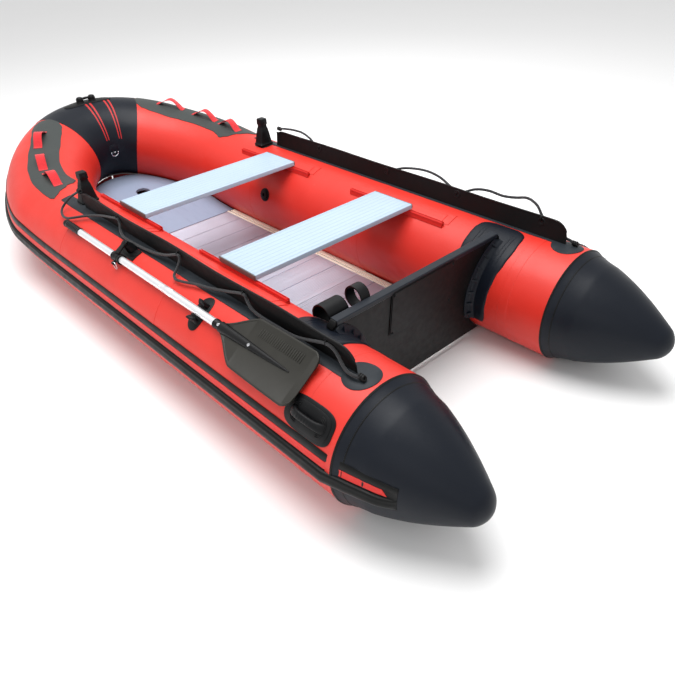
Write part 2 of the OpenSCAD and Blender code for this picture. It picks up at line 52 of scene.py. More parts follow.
# ---------------------------------------------------------------- sizes from the frame
TUBE_LO, TUBE_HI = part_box("starboard_tube")
R = (TUBE_HI.z - TUBE_LO.z) / 2
CX = (TUBE_HI.x + TUBE_LO.x) / 2
BASE_Y, SHOULDER_Y = TUBE_LO.y, TUBE_HI.y
STERN_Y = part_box("starboard_cone")[0].y
NOSE_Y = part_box("bow_nose")[1].y - R
BOW_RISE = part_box("bow_nose")[1].z - 2 * R
BEND_Y = SHOULDER_Y + 0.4
STRAIGHT_SHARE = 0.31
SEAM_S = 0.81
CONE_L = BASE_Y - STERN_Y
CONE_TIP_R, CONE_DROP = 0.04, 0.006
TIP_ROUND = 0.036
NOSE_R = 0.86
BEZ_X = (CX, CX, CX * 0.72, 0)
BEZ_Y = (BEND_Y, BEND_Y + 0.234 * (NOSE_Y - BEND_Y), NOSE_Y, NOSE_Y)


def bez(p, t):
    u = 1 - t
    return u**3 * p[0] + 3 * u * u * t * p[1] + 3 * u * t * t * p[2] + t**3 * p[3]


def centre(s):
    """The tube's axis: s = 0 at the shoulder, 1 at the nose, 2 on the other side; below 0 it is metres aft."""
    if s > 1:
        q = centre(2 - s)
        return Vector((-q.x, q.y, q.z))
    if s < 0:
        x, y = CX, SHOULDER_Y + s
    elif s < STRAIGHT_SHARE:
        x, y = CX, SHOULDER_Y + (BEND_Y - SHOULDER_Y) * s / STRAIGHT_SHARE
    else:
        t = (s - STRAIGHT_SHARE) / (1 - STRAIGHT_SHARE)
        x, y = bez(BEZ_X, t), bez(BEZ_Y, t)
    rise = BOW_RISE * max(0, (y - SHOULDER_Y) / (NOSE_Y - SHOULDER_Y)) ** 2.3
    return Vector((x, y, R + rise - CONE_DROP * max(0, (BASE_Y - y) / CONE_L)))


def radius(y):
    """The tube's radius, which tapers along a stern cone on a slightly convex line."""
    t = min(1, max(0, (BASE_Y - y) / CONE_L))
    full = R - (R - CONE_TIP_R) * (t - 0.12 * sin(pi * t) * min(1, t * 4))
    past = max(0, STERN_Y + TIP_ROUND - y) / TIP_ROUND
    return full * sqrt(max(0.0004, 1 - min(1, past) ** 2.6))


def tangent(s):
    if s < 0.0005:
        return Vector((0, 1, 0))
    if s > 1.9995:
        return Vector((0, -1, 0))
    return (centre(min(s + 0.004, 2)) - centre(s - 0.004)).normalized()


def axes(s):
    t = tangent(s)
    up = (Vector((0, 0, 1)) - t * t.z).normalized()
    return t, up, t.cross(up)


def on(s, angle, height=0.0):
    """A point at an angle round the tube from outboard, a height off its surface."""
    c = centre(s)
    _, up, out = axes(s)
    a = radians(angle)
    return c + (radius(c.y) + height) * (cos(a) * out + sin(a) * up)


def s_of(y):
    """The station of a y on the straight tube, or on the straight part of the bow."""
    d = y - SHOULDER_Y
    return d if d < 0 else d / (BEND_Y - SHOULDER_Y) * STRAIGHT_SHARE


def tube_matrix(s, angle, height=0.0):
    """Local x runs round the tube, y along it and z outwards."""
    p = on(s, angle, height)
    t = tangent(s)
    z = (p - centre(s)).normalized()
    x = t.cross(z)
    return Matrix(((x.x, t.x, z.x, p.x), (x.y, t.y, z.y, p.y), (x.z, t.z, z.z, p.z), (0, 0, 0, 1)))


def lerp(a, b, t):
    return a + (b - a) * t


def smooth(t):
    t = min(max(t, 0), 1)
    return t * t * (3 - 2 * t)


def through(points, x):
    """A smooth value at x on a line through (x, value) points."""
    if x <= points[0][0]:
        return points[0][1]
    for (x0, y0), (x1, y1) in zip(points, points[1:]):
        if x <= x1:
            return lerp(y0, y1, smooth((x - x0) / (x1 - x0)))
    return points[-1][1]


def spread(a, b, n):
    return [lerp(a, b, i / n) for i in range(n + 1)]


# ---------------------------------------------------------------- mesh building
class Shape:
    """Vertices, faces and one UV per face corner in metres, gathered before they become an object."""

    def __init__(self):
        self.verts, self.faces, self.uvs = [], [], []

    def loft(self, rings, closed=True, caps=True, loop=False):
        """Quads between rings of equal length; closed joins each ring's ends, loop the last ring to the first."""
        start, n, m = len(self.verts), len(rings[0]), len(rings)
        for ring in rings:
            self.verts += [Vector(p) for p in ring]
        around, along = [0.0], [0.0]
        mid = rings[m // 2]
        for j in range(n):
            around.append(around[-1] + (Vector(mid[(j + 1) % n]) - Vector(mid[j])).length)
        for i in range(m):
            along.append(along[-1] + (Vector(rings[(i + 1) % m][0]) - Vector(rings[i][0])).length)
        for i in range(m if loop else m - 1):
            for j in range(n if closed else n - 1):
                a, b = start + i * n + j, start + i * n + (j + 1) % n
                k = (i + 1) % m
                self.faces.append((a, b, start + k * n + (j + 1) % n, start + k * n + j))
                u0, u1, v0, v1 = around[j], around[j + 1], along[i], along[i + 1]
                self.uvs.append(((u0, v0), (u1, v0), (u1, v1), (u0, v1)))
        if caps and closed and not loop:
            for i in (0, m - 1):
                self.faces.append(tuple(start + i * n + j for j in range(n)))
                self.uvs.append(tuple((p[0], p[1]) for p in rings[i]))
        return self

    def sweep(self, stations, profile):
        """Rings of (angle, height) points round the tube at each station; profile may depend on the station."""
        return self.loft([[on(s, a, h) for a, h in profile(s)] for s in stations])

    def lathe(self, profile, matrix, n=40):
        """Turns (radius, z) points round the local z axis."""
        rings = [[matrix @ Vector((r * cos(2 * pi * j / n), r * sin(2 * pi * j / n), z))
                  for j in range(n)] for r, z in profile]
        return self.loft(rings)

    def pipe(self, points, r, n=14, loop=False):
        """A round bar of radius r, a number or one for each point, along a line of points."""
        points = [Vector(p) for p in points]
        m = len(points)
        rings, side = [], None
        for i, p in enumerate(points):
            before = points[(i - 1) % m] if loop or i else p
            after = points[(i + 1) % m] if loop or i < m - 1 else p
            t = (after - before).normalized()
            if side is None:
                side = t.orthogonal().normalized()
            side = (side - t * side.dot(t)).normalized()
            other = t.cross(side)
            q = r[i] if hasattr(r, "__len__") else r
            rings.append([p + q * (cos(2 * pi * j / n) * side + sin(2 * pi * j / n) * other)
                          for j in range(n)])
        return self.loft(rings, loop=loop)

    def slab(self, outline, z0, z1, matrix, edge=0.0):
        """An outline in local x and y, from z0 to z1, with its top edge rounded by edge."""
        rings = [[(x, y, z0) for x, y in outline]]
        if edge:
            rings.append([(x, y, z1 - edge) for x, y in outline])
            rings.append([(x, y, z1 - edge * 0.3) for x, y in inset(outline, edge * 0.3)])
            rings.append([(x, y, z1) for x, y in inset(outline, edge)])
        else:
            rings.append([(x, y, z1) for x, y in outline])
        return self.loft([[matrix @ Vector(p) for p in ring] for ring in rings])

    def across(self, section, xs):
        """Pushes a (y, z) section along x."""
        return self.loft([[(x, y, z) for y, z in section] for x in xs])

    def lengthwise(self, section, ys, side=1):
        """Pushes an (x, z) section along y."""
        return self.loft([[(side * x, y, z) for x, z in section] for y in ys])

    def mirrored(self, side):
        if side > 0:
            return self
        out = Shape()
        out.verts = [Vector((-v.x, v.y, v.z)) for v in self.verts]
        out.faces = [tuple(reversed(f)) for f in self.faces]
        out.uvs = [tuple(reversed(u)) for u in self.uvs]
        return out

    def join(self, other):
        start = len(self.verts)
        self.verts += other.verts
        self.faces += [tuple(i + start for i in f) for f in other.faces]
        self.uvs += other.uvs
        return self

    def both(self):
        """This shape and its mirror image."""
        return Shape().join(self).join(self.mirrored(-1))


def inset(outline, d):
    """The outline drawn in by d, for outlines without sharp inward corners."""
    n, out = len(outline), []
    area = sum(outline[i][0] * outline[(i + 1) % n][1] - outline[(i + 1) % n][0] * outline[i][1] for i in range(n))
    turn = 1 if area > 0 else -1
    for i in range(n):
        a, b, c = (Vector(outline[k % n][:2]) for k in (i - 1, i, i + 1))
        e = ((b - a).normalized() + (c - b).normalized()).normalized()
        out.append((b.x - turn * e.y * d, b.y + turn * e.x * d))
    return out


def rounded(w, h, r, n=6, x=0.0, y=0.0):
    """A rounded rectangle's outline, counter-clockwise round (x, y)."""
    out = []
    for k, (sx, sy) in enumerate(((1, 1), (-1, 1), (-1, -1), (1, -1))):
        for i in range(n + 1):
            a = radians(90 * (k + i / n))
            out.append((x + sx * (w / 2 - r) + r * cos(a), y + sy * (h / 2 - r) + r * sin(a)))
    return out


def oval(a, b, n=36, power=2.0):
    out = []
    for i in range(n):
        t = 2 * pi * i / n
        c, s = cos(t), sin(t)
        out.append((a * copysign(abs(c) ** (2 / power), c), b * copysign(abs(s) ** (2 / power), s)))
    return out


def glued(shape, outline, place, levels):
    """A patch on the tube: the outline's (x, y) shrunk by each level's share, at its height; place puts it there."""
    shape.loft([[place(x * q, y * q, h) for x, y in outline] for q, h in levels])


def stepped(h0, h1):
    """A patch's levels: up from h0 at its edge to a flat top at h1."""
    return (1.0, h0), (1.0, lerp(h0, h1, 0.6)), (0.95, h1), (0.5, h1), (0.03, h1)


def along(y0, angle):
    """Puts a patch's (x, y, height) round y0 on the straight tube, x metres round from the angle."""
    return lambda x, y, h: on(s_of(y0 + y), angle + degrees(x / R), h)


def at_nose(angle):
    """The same on the nose, where y runs across the boat."""
    return lambda x, y, h: on(1 - y / NOSE_R, angle + degrees(x / R), h)


def piece(name, shape, finish, body, replaces="", bevel=0.0, sharp=35):
    """One mesh object: its finish, the body it rides on and the CAD node it stands for."""
    mesh = bpy.data.meshes.new(name)
    mesh.from_pydata([tuple(v) for v in shape.verts], [], shape.faces)
    layer = mesh.uv_layers.new(name="metres")
    for i, uv in enumerate(c for face in shape.uvs for c in face):
        layer.data[i].uv = uv
    work = bmesh.new()
    work.from_mesh(mesh)
    bmesh.ops.recalc_face_normals(work, faces=work.faces)
    work.to_mesh(mesh)
    work.free()
    mesh.shade_smooth()
    mesh.set_sharp_from_angle(angle=radians(sharp))
    mesh.materials.append(FINISHES[finish])
    obj = bpy.data.objects.new(name, mesh)
    bpy.context.scene.collection.objects.link(obj)
    if bevel:
        soften(obj, bevel)
    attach(obj, body)
    if replaces:
        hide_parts(replaces)
    return obj


def show(name, finish, bevel=0.0):
    """A CAD node that stays in view, in a finish of its own."""
    node = nodes[name]
    node.data.materials.clear()
    node.data.materials.append(FINISHES[finish])
    if bevel:
        soften(node, bevel)
    return node


def soften(obj, width):
    """Rounds the sharp edges."""
    mod = obj.modifiers.new("edges", "BEVEL")
    mod.width, mod.segments, mod.limit_method = width, 3, "ANGLE"
    mod.angle_limit = radians(38)
    mod.harden_normals = True


# ---------------------------------------------------------------- materials
def linear(r, g, b):
    """A colour seen on a screen, 0 to 255, as scene values."""
    return tuple((c / 255 / 12.92) if c <= 10 else ((c / 255 + 0.055) / 1.055) ** 2.4 for c in (r, g, b)) + (1,)


def tint(colour, k):
    return tuple(min(1, c * k) for c in colour[:3]) + (1,)


class Finish:
    """A material's node tree: a principled shader, and the textures that feed it."""

    def __init__(self, name, colour, rough, metal=0.0, specular=0.5, coat=0.0, coat_rough=0.2, sheen=0.0, uv=False):
        self.m = bpy.data.materials.new(name)
        self.m.use_nodes = True
        self.m.diffuse_color = colour
        self.t = self.m.node_tree
        self.t.nodes.clear()
        self.out = self.add("ShaderNodeOutputMaterial")
        self.bsdf = self.add("ShaderNodeBsdfPrincipled")
        self.link(self.bsdf.outputs[0], self.out.inputs[0])
        for socket, value in (("Metallic", metal), ("Specular IOR Level", specular), ("Coat Weight", coat),
                              ("Coat Roughness", coat_rough), ("Sheen Weight", sheen)):
            self.bsdf.inputs[socket].default_value = value
        coord = self.add("ShaderNodeTexCoord")
        self.where = coord.outputs["UV" if uv else "Object"]
        self.colour, self.rough, self.height = colour, rough, None
        self.paint = None

    def add(self, kind):
        return self.t.nodes.new(kind)

    def link(self, a, b):
        self.t.links.new(a, b)

    def stretched(self, scale):
        n = self.add("ShaderNodeMapping")
        n.inputs["Scale"].default_value = scale
        self.link(self.where, n.inputs["Vector"])
        return n.outputs[0]

    def noise(self, scale, detail=3.0, stretch=None, rough=0.5):
        n = self.add("ShaderNodeTexNoise")
        n.inputs["Scale"].default_value, n.inputs["Detail"].default_value = scale, detail
        n.inputs["Roughness"].default_value = rough
        self.link(self.stretched(stretch) if stretch else self.where, n.inputs["Vector"])
        return n.outputs["Fac"]

    def wave(self, axis, pitch, distortion=0.0):
        n = self.add("ShaderNodeTexWave")
        n.wave_type, n.bands_direction = "BANDS", axis
        n.inputs["Scale"].default_value = 1 / pitch / 3.18
        n.inputs["Distortion"].default_value = distortion
        self.link(self.where, n.inputs["Vector"])
        return n.outputs["Fac"]

    def math(self, kind, a, b):
        n = self.add("ShaderNodeMath")
        n.operation = kind
        for socket, value in zip(n.inputs, (a, b)):
            if hasattr(value, "node"):
                self.link(value, socket)
            else:
                socket.default_value = value
        return n.outputs[0]

    def scaled(self, value, a0, a1, b0, b1):
        n = self.add("ShaderNodeMapRange")
        for socket, v in zip(n.inputs[1:5], (a0, a1, b0, b1)):
            socket.default_value = v
        self.link(value, n.inputs[0])
        return n.outputs[0]

    def mix(self, value, a, b):
        n = self.add("ShaderNodeMix")
        n.data_type = "RGBA"
        self.link(value, n.inputs["Factor"])
        for socket, v in ((n.inputs[6], a), (n.inputs[7], b)):
            if hasattr(v, "node"):
                self.link(v, socket)
            else:
                socket.default_value = v
        return n.outputs[2]

    def mottled(self, amount, scale):
        """Slow changes of colour over the surface."""
        t = self.scaled(self.noise(scale, 4), 0.3, 0.7, 0, 1)
        self.paint = self.mix(t, tint(self.colour, 1 - amount), tint(self.colour, 1 + amount))
        return self

    def speckled(self, colour, scale, low, high, strength=1.0, stretch=None):
        """Specks, scuffs or dust: colour where a noise is above low, full above high."""
        t = self.scaled(self.noise(scale, 8, stretch, 0.65), low, high, 0, strength)
        self.paint = self.mix(t, self.paint if self.paint else self.colour, colour)
        return self

    def lined(self, colour, axis, pitch, low, high, strength=1.0):
        t = self.scaled(self.wave(axis, pitch), low, high, 0, strength)
        self.paint = self.mix(t, self.paint if self.paint else self.colour, colour)
        return self

    def raise_by(self, value, depth):
        h = self.math("MULTIPLY", value, depth)
        self.height = self.math("ADD", self.height, h) if self.height else h
        return self

    def woven(self, pitch, depth):
        """Two thread directions over the object's own axes."""
        a, b = self.wave("DIAGONAL", pitch), self.wave("Y", pitch)
        return self.raise_by(self.math("MULTIPLY", a, b), depth)

    def done(self, rough_spread=0.06, rough_scale=9.0, rough_stretch=None):
        if self.paint:
            self.link(self.paint, self.bsdf.inputs["Base Color"])
        else:
            self.bsdf.inputs["Base Color"].default_value = self.colour
        r = self.scaled(self.noise(rough_scale, 5, rough_stretch), 0.25, 0.75, self.rough - rough_spread,
                        self.rough + rough_spread)
        self.link(r, self.bsdf.inputs["Roughness"])
        if self.height:
            bump = self.add("ShaderNodeBump")
            bump.inputs["Distance"].default_value = 1.0
            bump.inputs["Strength"].default_value = 0.7
            self.link(self.height, bump.inputs["Height"])
            self.link(bump.outputs[0], self.bsdf.inputs["Normal"])
        return self.m


def coated_fabric(name, colour, rough=0.42, dust=0.04, specular=0.38):
    """Coated boat fabric: a fine base cloth prints through, with slow tone changes and faint scuffs."""
    f = Finish(name, colour, rough, specular=specular)
    f.mottled(0.05, 3.0).speckled(tint(colour, 0.72), 60, 0.6, 0.8, 0.25)
    f.speckled(linear(200, 196, 190), 22, 0.62, 0.86, dust)
    f.woven(0.0016, 0.00006).raise_by(f.noise(14, 3), 0.0012).raise_by(f.noise(240, 3), 0.00008)
    return f.done(0.07, 7)


def rubber(name, colour, rough=0.55, grain=0.00012):
    f = Finish(name, colour, rough, specular=0.2)
    f.mottled(0.12, 12).speckled(linear(80, 80, 80), 70, 0.6, 0.85, 0.05)
    f.raise_by(f.noise(520, 4), grain).raise_by(f.noise(45, 3), 0.0003)
    return f.done(0.09, 24)


def plastic(name, colour, rough=0.4, grain=0.00006):
    f = Finish(name, colour, rough, specular=0.24)
    f.mottled(0.07, 18).speckled(tint(colour, 1.9), 90, 0.62, 0.84, 0.2)
    f.raise_by(f.noise(700, 3), grain)
    return f.done(0.08, 40)


def brushed(name, colour, rough, metal, stretch, dull=0.5, streak=0.1):
    """Drawn or brushed metal: fine streaks along one axis, with cloudy tarnish."""
    f = Finish(name, colour, rough, metal, specular=0.5)
    f.mottled(streak, 7).speckled(tint(colour, 0.72), 260, 0.55, 0.8, dull, stretch)
    f.raise_by(f.noise(900, 4, stretch), 0.00006)
    return f.done(0.1, 60, stretch)


RED = linear(208, 47, 36)
FINISHES = {
    "red": coated_fabric("red_coated_fabric", RED),
    "stripe": coated_fabric("stripe_red", linear(176, 34, 34), 0.45, 0.03),
    "trim_red": coated_fabric("red_trim", linear(212, 38, 30), 0.45, 0.03),
    "navy": coated_fabric("navy_coated_fabric", linear(15, 20, 29), 0.42, 0.012, 0.2),
    # The bottom's red is painted darker than the tubes' red: painted shade for the shade under the floor and the
    # tubes.
    "bottom": coated_fabric("bottom_fabric_painted_shade", linear(120, 22, 22), 0.5, 0.12),
    "charcoal": coated_fabric("charcoal_coated_fabric", linear(36, 41, 46), 0.5, 0.02, 0.2),
    "pad_cloth": coated_fabric("grab_pad_fabric", linear(60, 64, 63), 0.5, 0.03, 0.2),
    "flap": rubber("flap_rubberised_cloth", linear(10, 10, 11), 0.6),
    "rubber": rubber("black_rubber", linear(9, 10, 12), 0.46),
    "fender": rubber("fender_rubber", linear(8, 9, 9), 0.42),
    "transom": plastic("transom_laminate", linear(6, 6, 7), 0.5, 0.0001),
    "cap": plastic("transom_edge_cap", linear(24, 29, 37), 0.4),
    "pad": plastic("motor_pad_plastic", linear(7, 8, 10), 0.5, 0.0001),
    "black": plastic("black_plastic", linear(9, 9, 10), 0.42),
    "blade": plastic("blade_plastic", linear(44, 43, 39), 0.46, 0.00008),
    "floor": brushed("floor_aluminium", linear(196, 198, 212), 0.36, 0.5, (0.03, 1, 1), 0.25, 0.05),
    "stringer": brushed("stringer_aluminium", linear(252, 244, 226), 0.42, 0.1, (1, 0.03, 1), 0.06, 0.02),
    "seat": brushed("seat_aluminium", linear(166, 184, 202), 0.42, 0.02, (0.03, 1, 1), 0.1, 0.02),
    "seat_end": plastic("seat_end_plastic", linear(104, 102, 100), 0.5),
    "shaft": brushed("shaft_aluminium", linear(236, 237, 240), 0.3, 0.7, (1, 0.02, 1), 0.15, 0.03),
    "steel": brushed("stainless_steel", linear(215, 216, 220), 0.22, 1.0, (1, 1, 1), 0.2, 0.06),
}


def painted_board():
    """Marine plywood under grey-blue paint: the grain prints through along the boat."""
    f = Finish("painted_plywood", linear(144, 156, 178), 0.38, specular=0.35)
    f.mottled(0.05, 4).speckled(linear(122, 134, 156), 40, 0.52, 0.78, 0.35, (1, 0.06, 1))
    f.raise_by(f.noise(60, 6, (1, 0.05, 1)), 0.0004)
    return f.done(0.08, 20, (1, 0.1, 1))


def webbing(name, colour):
    """Woven strap: ribs across, threads along, from the strap's own UV in metres."""
    f = Finish(name, colour, 0.72, specular=0.3, sheen=0.25, uv=True)
    f.mottled(0.1, 60).lined(tint(colour, 0.55), "Y", 0.0022, 0.55, 0.95, 0.7)
    f.raise_by(f.wave("Y", 0.0022), 0.0005).raise_by(f.wave("X", 0.006), 0.0003)
    return f.done(0.06, 200)


def braid():
    """Braided rope: two crossing spirals from the rope's own UV in metres."""
    f = Finish("braided_rope", linear(25, 25, 27), 0.7, specular=0.3, sheen=0.2, uv=True)
    turned = []
    for sign in (1, -1):
        spin = f.add("ShaderNodeMapping")
        spin.inputs["Rotation"].default_value = (0, 0, radians(35 * sign))
        f.link(f.where, spin.inputs["Vector"])
        w = f.add("ShaderNodeTexWave")
        w.wave_type, w.bands_direction = "BANDS", "Y"
        w.inputs["Scale"].default_value = 1 / 0.0045 / 3.18
        f.link(spin.outputs[0], w.inputs["Vector"])
        turned.append(w.outputs["Fac"])
    strands = f.math("MAXIMUM", *turned)
    # The gaps between strands are painted darker than the strand tops: painted shade in the braid's hollows.
    f.paint = f.mix(strands, linear(12, 12, 13), linear(42, 42, 45))
    f.raise_by(strands, 0.0011).raise_by(f.noise(900, 3), 0.0002)
    return f.done(0.05, 300)


FINISHES["board"] = painted_board()
FINISHES["webbing"] = webbing("grab_webbing", linear(214, 34, 42))
FINISHES["rope"] = braid()


# ---------------------------------------------------------------- hull tubes
STEP = 360 / 96
ROUND = [i * STEP for i in range(96)]
TAPE_W, TAPE_H = 0.04, 0.0009


def taped(s, tapes):
    """Height of the seam tapes on the tube at a station."""
    return TAPE_H if any(abs(s - t) <= w for t, w in tapes) else 0.0


def hull_stations(s0, s1, n, tapes):
    """Even stations, with a close pair at each tape's edges."""
    out = set(spread(s0, s1, n))
    for t, w in tapes:
        for q in (-1, 1):
            for e in (-0.0006, 0.0006):
                if s0 < t + q * w + e < s1:
                    out.add(t + q * w + e)
    return sorted(out)


def tube_skin(s0, s1, n, tapes=()):
    return Shape().sweep(hull_stations(s0, s1, n, tapes), lambda s: [(a, taped(s, tapes)) for a in ROUND])


def seam_at(angle):
    """The station where the nose's cloth starts: further forward on top and outboard."""
    return SEAM_S + 0.03 + 0.03 * cos(radians(angle))


def hull_tubes():
    for side, k in SIDES.items():
        straight = [(-0.001 - TAPE_W, TAPE_W / 2), (-0.88, TAPE_W / 2), (-1.72, TAPE_W / 2)]
        piece(f"{side}_tube_skin", tube_skin(s_of(BASE_Y), 0, 40, straight).mirrored(k), "red", "hull",
              f"{side}_tube", sharp=25)
        rows = [[on(t * seam_at(a) / SEAM_S, a, 0) for a in ROUND] for t in spread(0, SEAM_S, 56)]
        piece(f"{side}_bow_skin", Shape().loft(rows).mirrored(k), "red", "hull",
              f"{side}_bow", sharp=25)
    rows = [[on(1 + q * (1.0003 - seam_at(a)), a, 0.0013) for a in ROUND] for q in spread(-1, 1, 44)]
    nose = Shape().loft(rows)
    piece("nose_skin", nose, "navy", "hull", "bow_nose", sharp=25)


def cone_skin():
    """A stern cone: a slightly convex taper with a rounded tip, and a raised edge where it laps the tube."""
    rings, n = [], 44
    ys = spread(BASE_Y, STERN_Y + TIP_ROUND, n) + [
        STERN_Y + TIP_ROUND * (1 - sin(radians(t))) + 0.0003 for t in range(8, 90, 6)]
    for i, y in enumerate(ys):
        c = centre(s_of(y))
        r = radius(y) + (0.0014 if i == 0 else 0.0)
        rings.append([c + Vector((cos(radians(a)), 0, sin(radians(a)))) * r for a in ROUND])
    return Shape().loft(rings)


def cones():
    for side, k in SIDES.items():
        shape = cone_skin()
        piece(f"{side}_cone_skin", shape.mirrored(k), "navy", "hull", f"{side}_cone",
              sharp=40)
        rim = Shape()
        for y, w, h in ((BASE_Y - 0.003, 0.007, 0.0016), (BASE_Y - 0.034, 0.004, 0.0009)):
            ss = [s_of(y + w * q) for q in (-0.5, -0.35, 0.35, 0.5)]
            rings = []
            for s, e in zip(ss, (0.0, 1.0, 1.0, 0.0)):
                rings.append([on(s, a, 0.0002 + h * e) for a in ROUND])
            for s in (ss[-1], ss[0]):
                rings.append([on(s, a, -0.002) for a in ROUND])
            rim.loft(rings, caps=False, loop=True)
        piece(f"{side}_cone_rim", rim.mirrored(k), "fender", "hull")


def nose_stripes():
    """Two pairs of thin red stripes that run down the nose and spread a little."""
    shape, top_a, low_a = Shape(), 94, 168
    for pair in (1, -1):
        for line in (1, -1):
            rings = []
            for t in spread(0, 1, 26):
                a = lerp(top_a, low_a, t)
                x = 0.022 + pair * lerp(0.026, 0.04, t) + line * lerp(0.0062, 0.0075, t)
                half, h = 0.003, 0.0024 if 0 < t < 1 else 0.0016
                rings.append([on(1 - (x + w * half) / NOSE_R, a, q) for w, q in
                              ((-1, 0.0014), (-0.7, h), (0.7, h), (1, 0.0014), (0, 0.001))])
            shape.loft(rings)
    piece("nose_stripes", shape, "stripe", "hull")


# ---------------------------------------------------------------- bottom and keel
SKIN_A, SKIN_GAP, SKIN_T = 240, 0.006, 0.0035
SKIN_LO, SKIN_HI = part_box("bottom_skin")
FOOT = SKIN_LO.z


def bottom_ring(s, y=None):
    """A cross-section of the bottom: the shallow V with eased edges, top face then lower face."""
    p = on(s, SKIN_A, SKIN_GAP + 0.001) if y is None else Vector((SKIN_HI.x, y, on(0, SKIN_A, SKIN_GAP).z))
    edge_z = on(0, SKIN_A, SKIN_GAP).z
    mid = FOOT + 0.55 * (p.z - edge_z)
    across = [-1 + i / 8 for i in range(17)]

    def height(c):
        sag = 0.004 * sin(pi * abs(c))
        return lerp(mid, p.z, abs(c) ** 1.12) - sag * 0.4

    low = [Vector((p.x * c, p.y, height(c))) for c in across]
    return low + [v + Vector((0, 0, SKIN_T)) for v in reversed(low)]


def bottom():
    fore = SKIN_HI.y
    ring_rows = [bottom_ring(0, y) for y in spread(SKIN_LO.y, fore, 24)]
    piece("bottom_cloth", Shape().loft(ring_rows), "bottom", "hull", "bottom_skin")
    ring_rows = [bottom_ring(s) for s in spread(s_of(fore + 0.001), 0.996, 34)]
    piece("bow_cloth", Shape().loft(ring_rows), "bottom", "hull", "bow_skin")
    lo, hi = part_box("keel")
    rings = []
    for y in spread(lo.y, hi.y, 30):
        e = min(y - lo.y, hi.y - y)
        k = sqrt(max(0.02, 1 - max(0, 1 - e / 0.05) ** 2))
        rings.append([Vector((c * hi.x * (0.75 + 0.25 * k), y, (lo.z + hi.z) / 2 + d * (hi.z - lo.z) / 2 * k))
                      for c, d in oval(1, 1, 32, 2.6)])
    piece("keel_tube", Shape().loft(rings), "bottom", "hull", "keel")
    strip = Shape()
    rows = []
    for y in spread(SKIN_LO.y + 0.02, fore - 0.01, 30):
        rows.append([Vector((x, y, FOOT + z + abs(x) * 0.02)) for x, z in
                     ((-0.026, 0.0), (-0.018, -0.0035), (-0.006, -0.0055), (0.006, -0.0055), (0.018, -0.0035),
                      (0.026, 0.0))])
    strip.loft(rows)
    piece("keel_strip", strip, "fender", "hull")


# ---------------------------------------------------------------- fender and its stripe
BAND_A = (13.5, 20.0)
FEND_A, FEND_W, FEND_T = -1.0, 0.048, 0.016
FEND_H = degrees(FEND_W / 2 / R)
STRIPE_A = (6.3, 12.9)
STRAKE_AFT = s_of(BASE_Y - 0.2)
STRAKE_SS = sorted(set([STRAKE_AFT + q for q in (0, 0.004, 0.012, 0.026, 0.045)] + spread(STRAKE_AFT + 0.06, 0, 24)
                       + spread(0, 1, 60)))


def strake_profile(s):
    grow = min(1, sqrt(max(0.0, (s - STRAKE_AFT) / 0.045)) + 0.08)
    top = [(BAND_A[1] - 0.1, 0.0005), (BAND_A[1], 0.0018), (BAND_A[1] - 0.4, 0.003), (BAND_A[0] + 0.4, 0.003),
           (BAND_A[0], 0.002), (FEND_A + FEND_H + 0.6, 0.0018)]
    dome = [(FEND_A + FEND_H * cos(radians(i * 15)),
             0.002 + FEND_T * grow * sin(radians(i * 15)) ** 0.8) for i in range(0, 13)]
    groove = [(a, h - (0.0022 if 4 <= i <= 5 else 0)) for i, (a, h) in enumerate(dome)]
    foot = [(FEND_A - FEND_H - 2.2, 0.0018), (FEND_A - FEND_H - 2.4, 0.0005)]
    under = [(a, 0.0003) for a in (FEND_A - 4, FEND_A, 6, BAND_A[0])]
    return top + groove + foot + under


def strakes():
    for side, k in SIDES.items():
        piece(f"{side}_fender", Shape().sweep(STRAKE_SS, strake_profile).mirrored(k), "fender", "hull",
              f"{side}_strake", sharp=50)
        stripe, ss = Shape(), [s for s in STRAKE_SS if s > STRAKE_AFT + 0.02]
        rings = []
        for s in ss:
            slant = 0.8 * max(0.0, 0.02 - (s - ss[0]))
            rings.append([on(s + slant * q, lerp(*STRIPE_A, q), h) for q, h in
                          ((0, 0.0016), (0.06, 0.0027), (0.94, 0.0027), (1, 0.0016), (0.5, 0.0008))])
        stripe.loft(rings)
        piece(f"{side}_fender_stripe", stripe.mirrored(k), "trim_red", "hull")


# ---------------------------------------------------------------- transom
RAKE = radians(4)
BOARD_FOOT, BOARD_TOP = 0.034, 0.475
BOARD_T = 0.028
TRANSOM_Y = -1.05
HOLD_T = 0.005
HALF_W = CX - 0.081
TR_H = (BOARD_TOP - BOARD_FOOT) / cos(RAKE)
RAKED = Matrix.Translation((0, TRANSOM_Y, BOARD_FOOT)) @ Matrix.Rotation(RAKE, 4, "X")
# outlines are drawn in x and z and pushed along y
STANDING = Matrix(((1, 0, 0, 0), (0, 0, 1, 0), (0, 1, 0, 0), (0, 0, 0, 1)))


def board_outline():
    """Half is drawn from the foot up along the saddle to the clipped top corner, and then mirrored."""
    edge = []
    r = R + HOLD_T + 0.0005
    for i in range(15):
        a = radians(lerp(236.5, 110.8, i / 14))
        edge.append((CX + r * cos(a), (R + r * sin(a) - BOARD_FOOT) / cos(RAKE)))
    half = edge + [(HALF_W - 0.004, TR_H - 0.018), (HALF_W - 0.022, TR_H)]
    return half + [(-x, z) for x, z in reversed(half)]


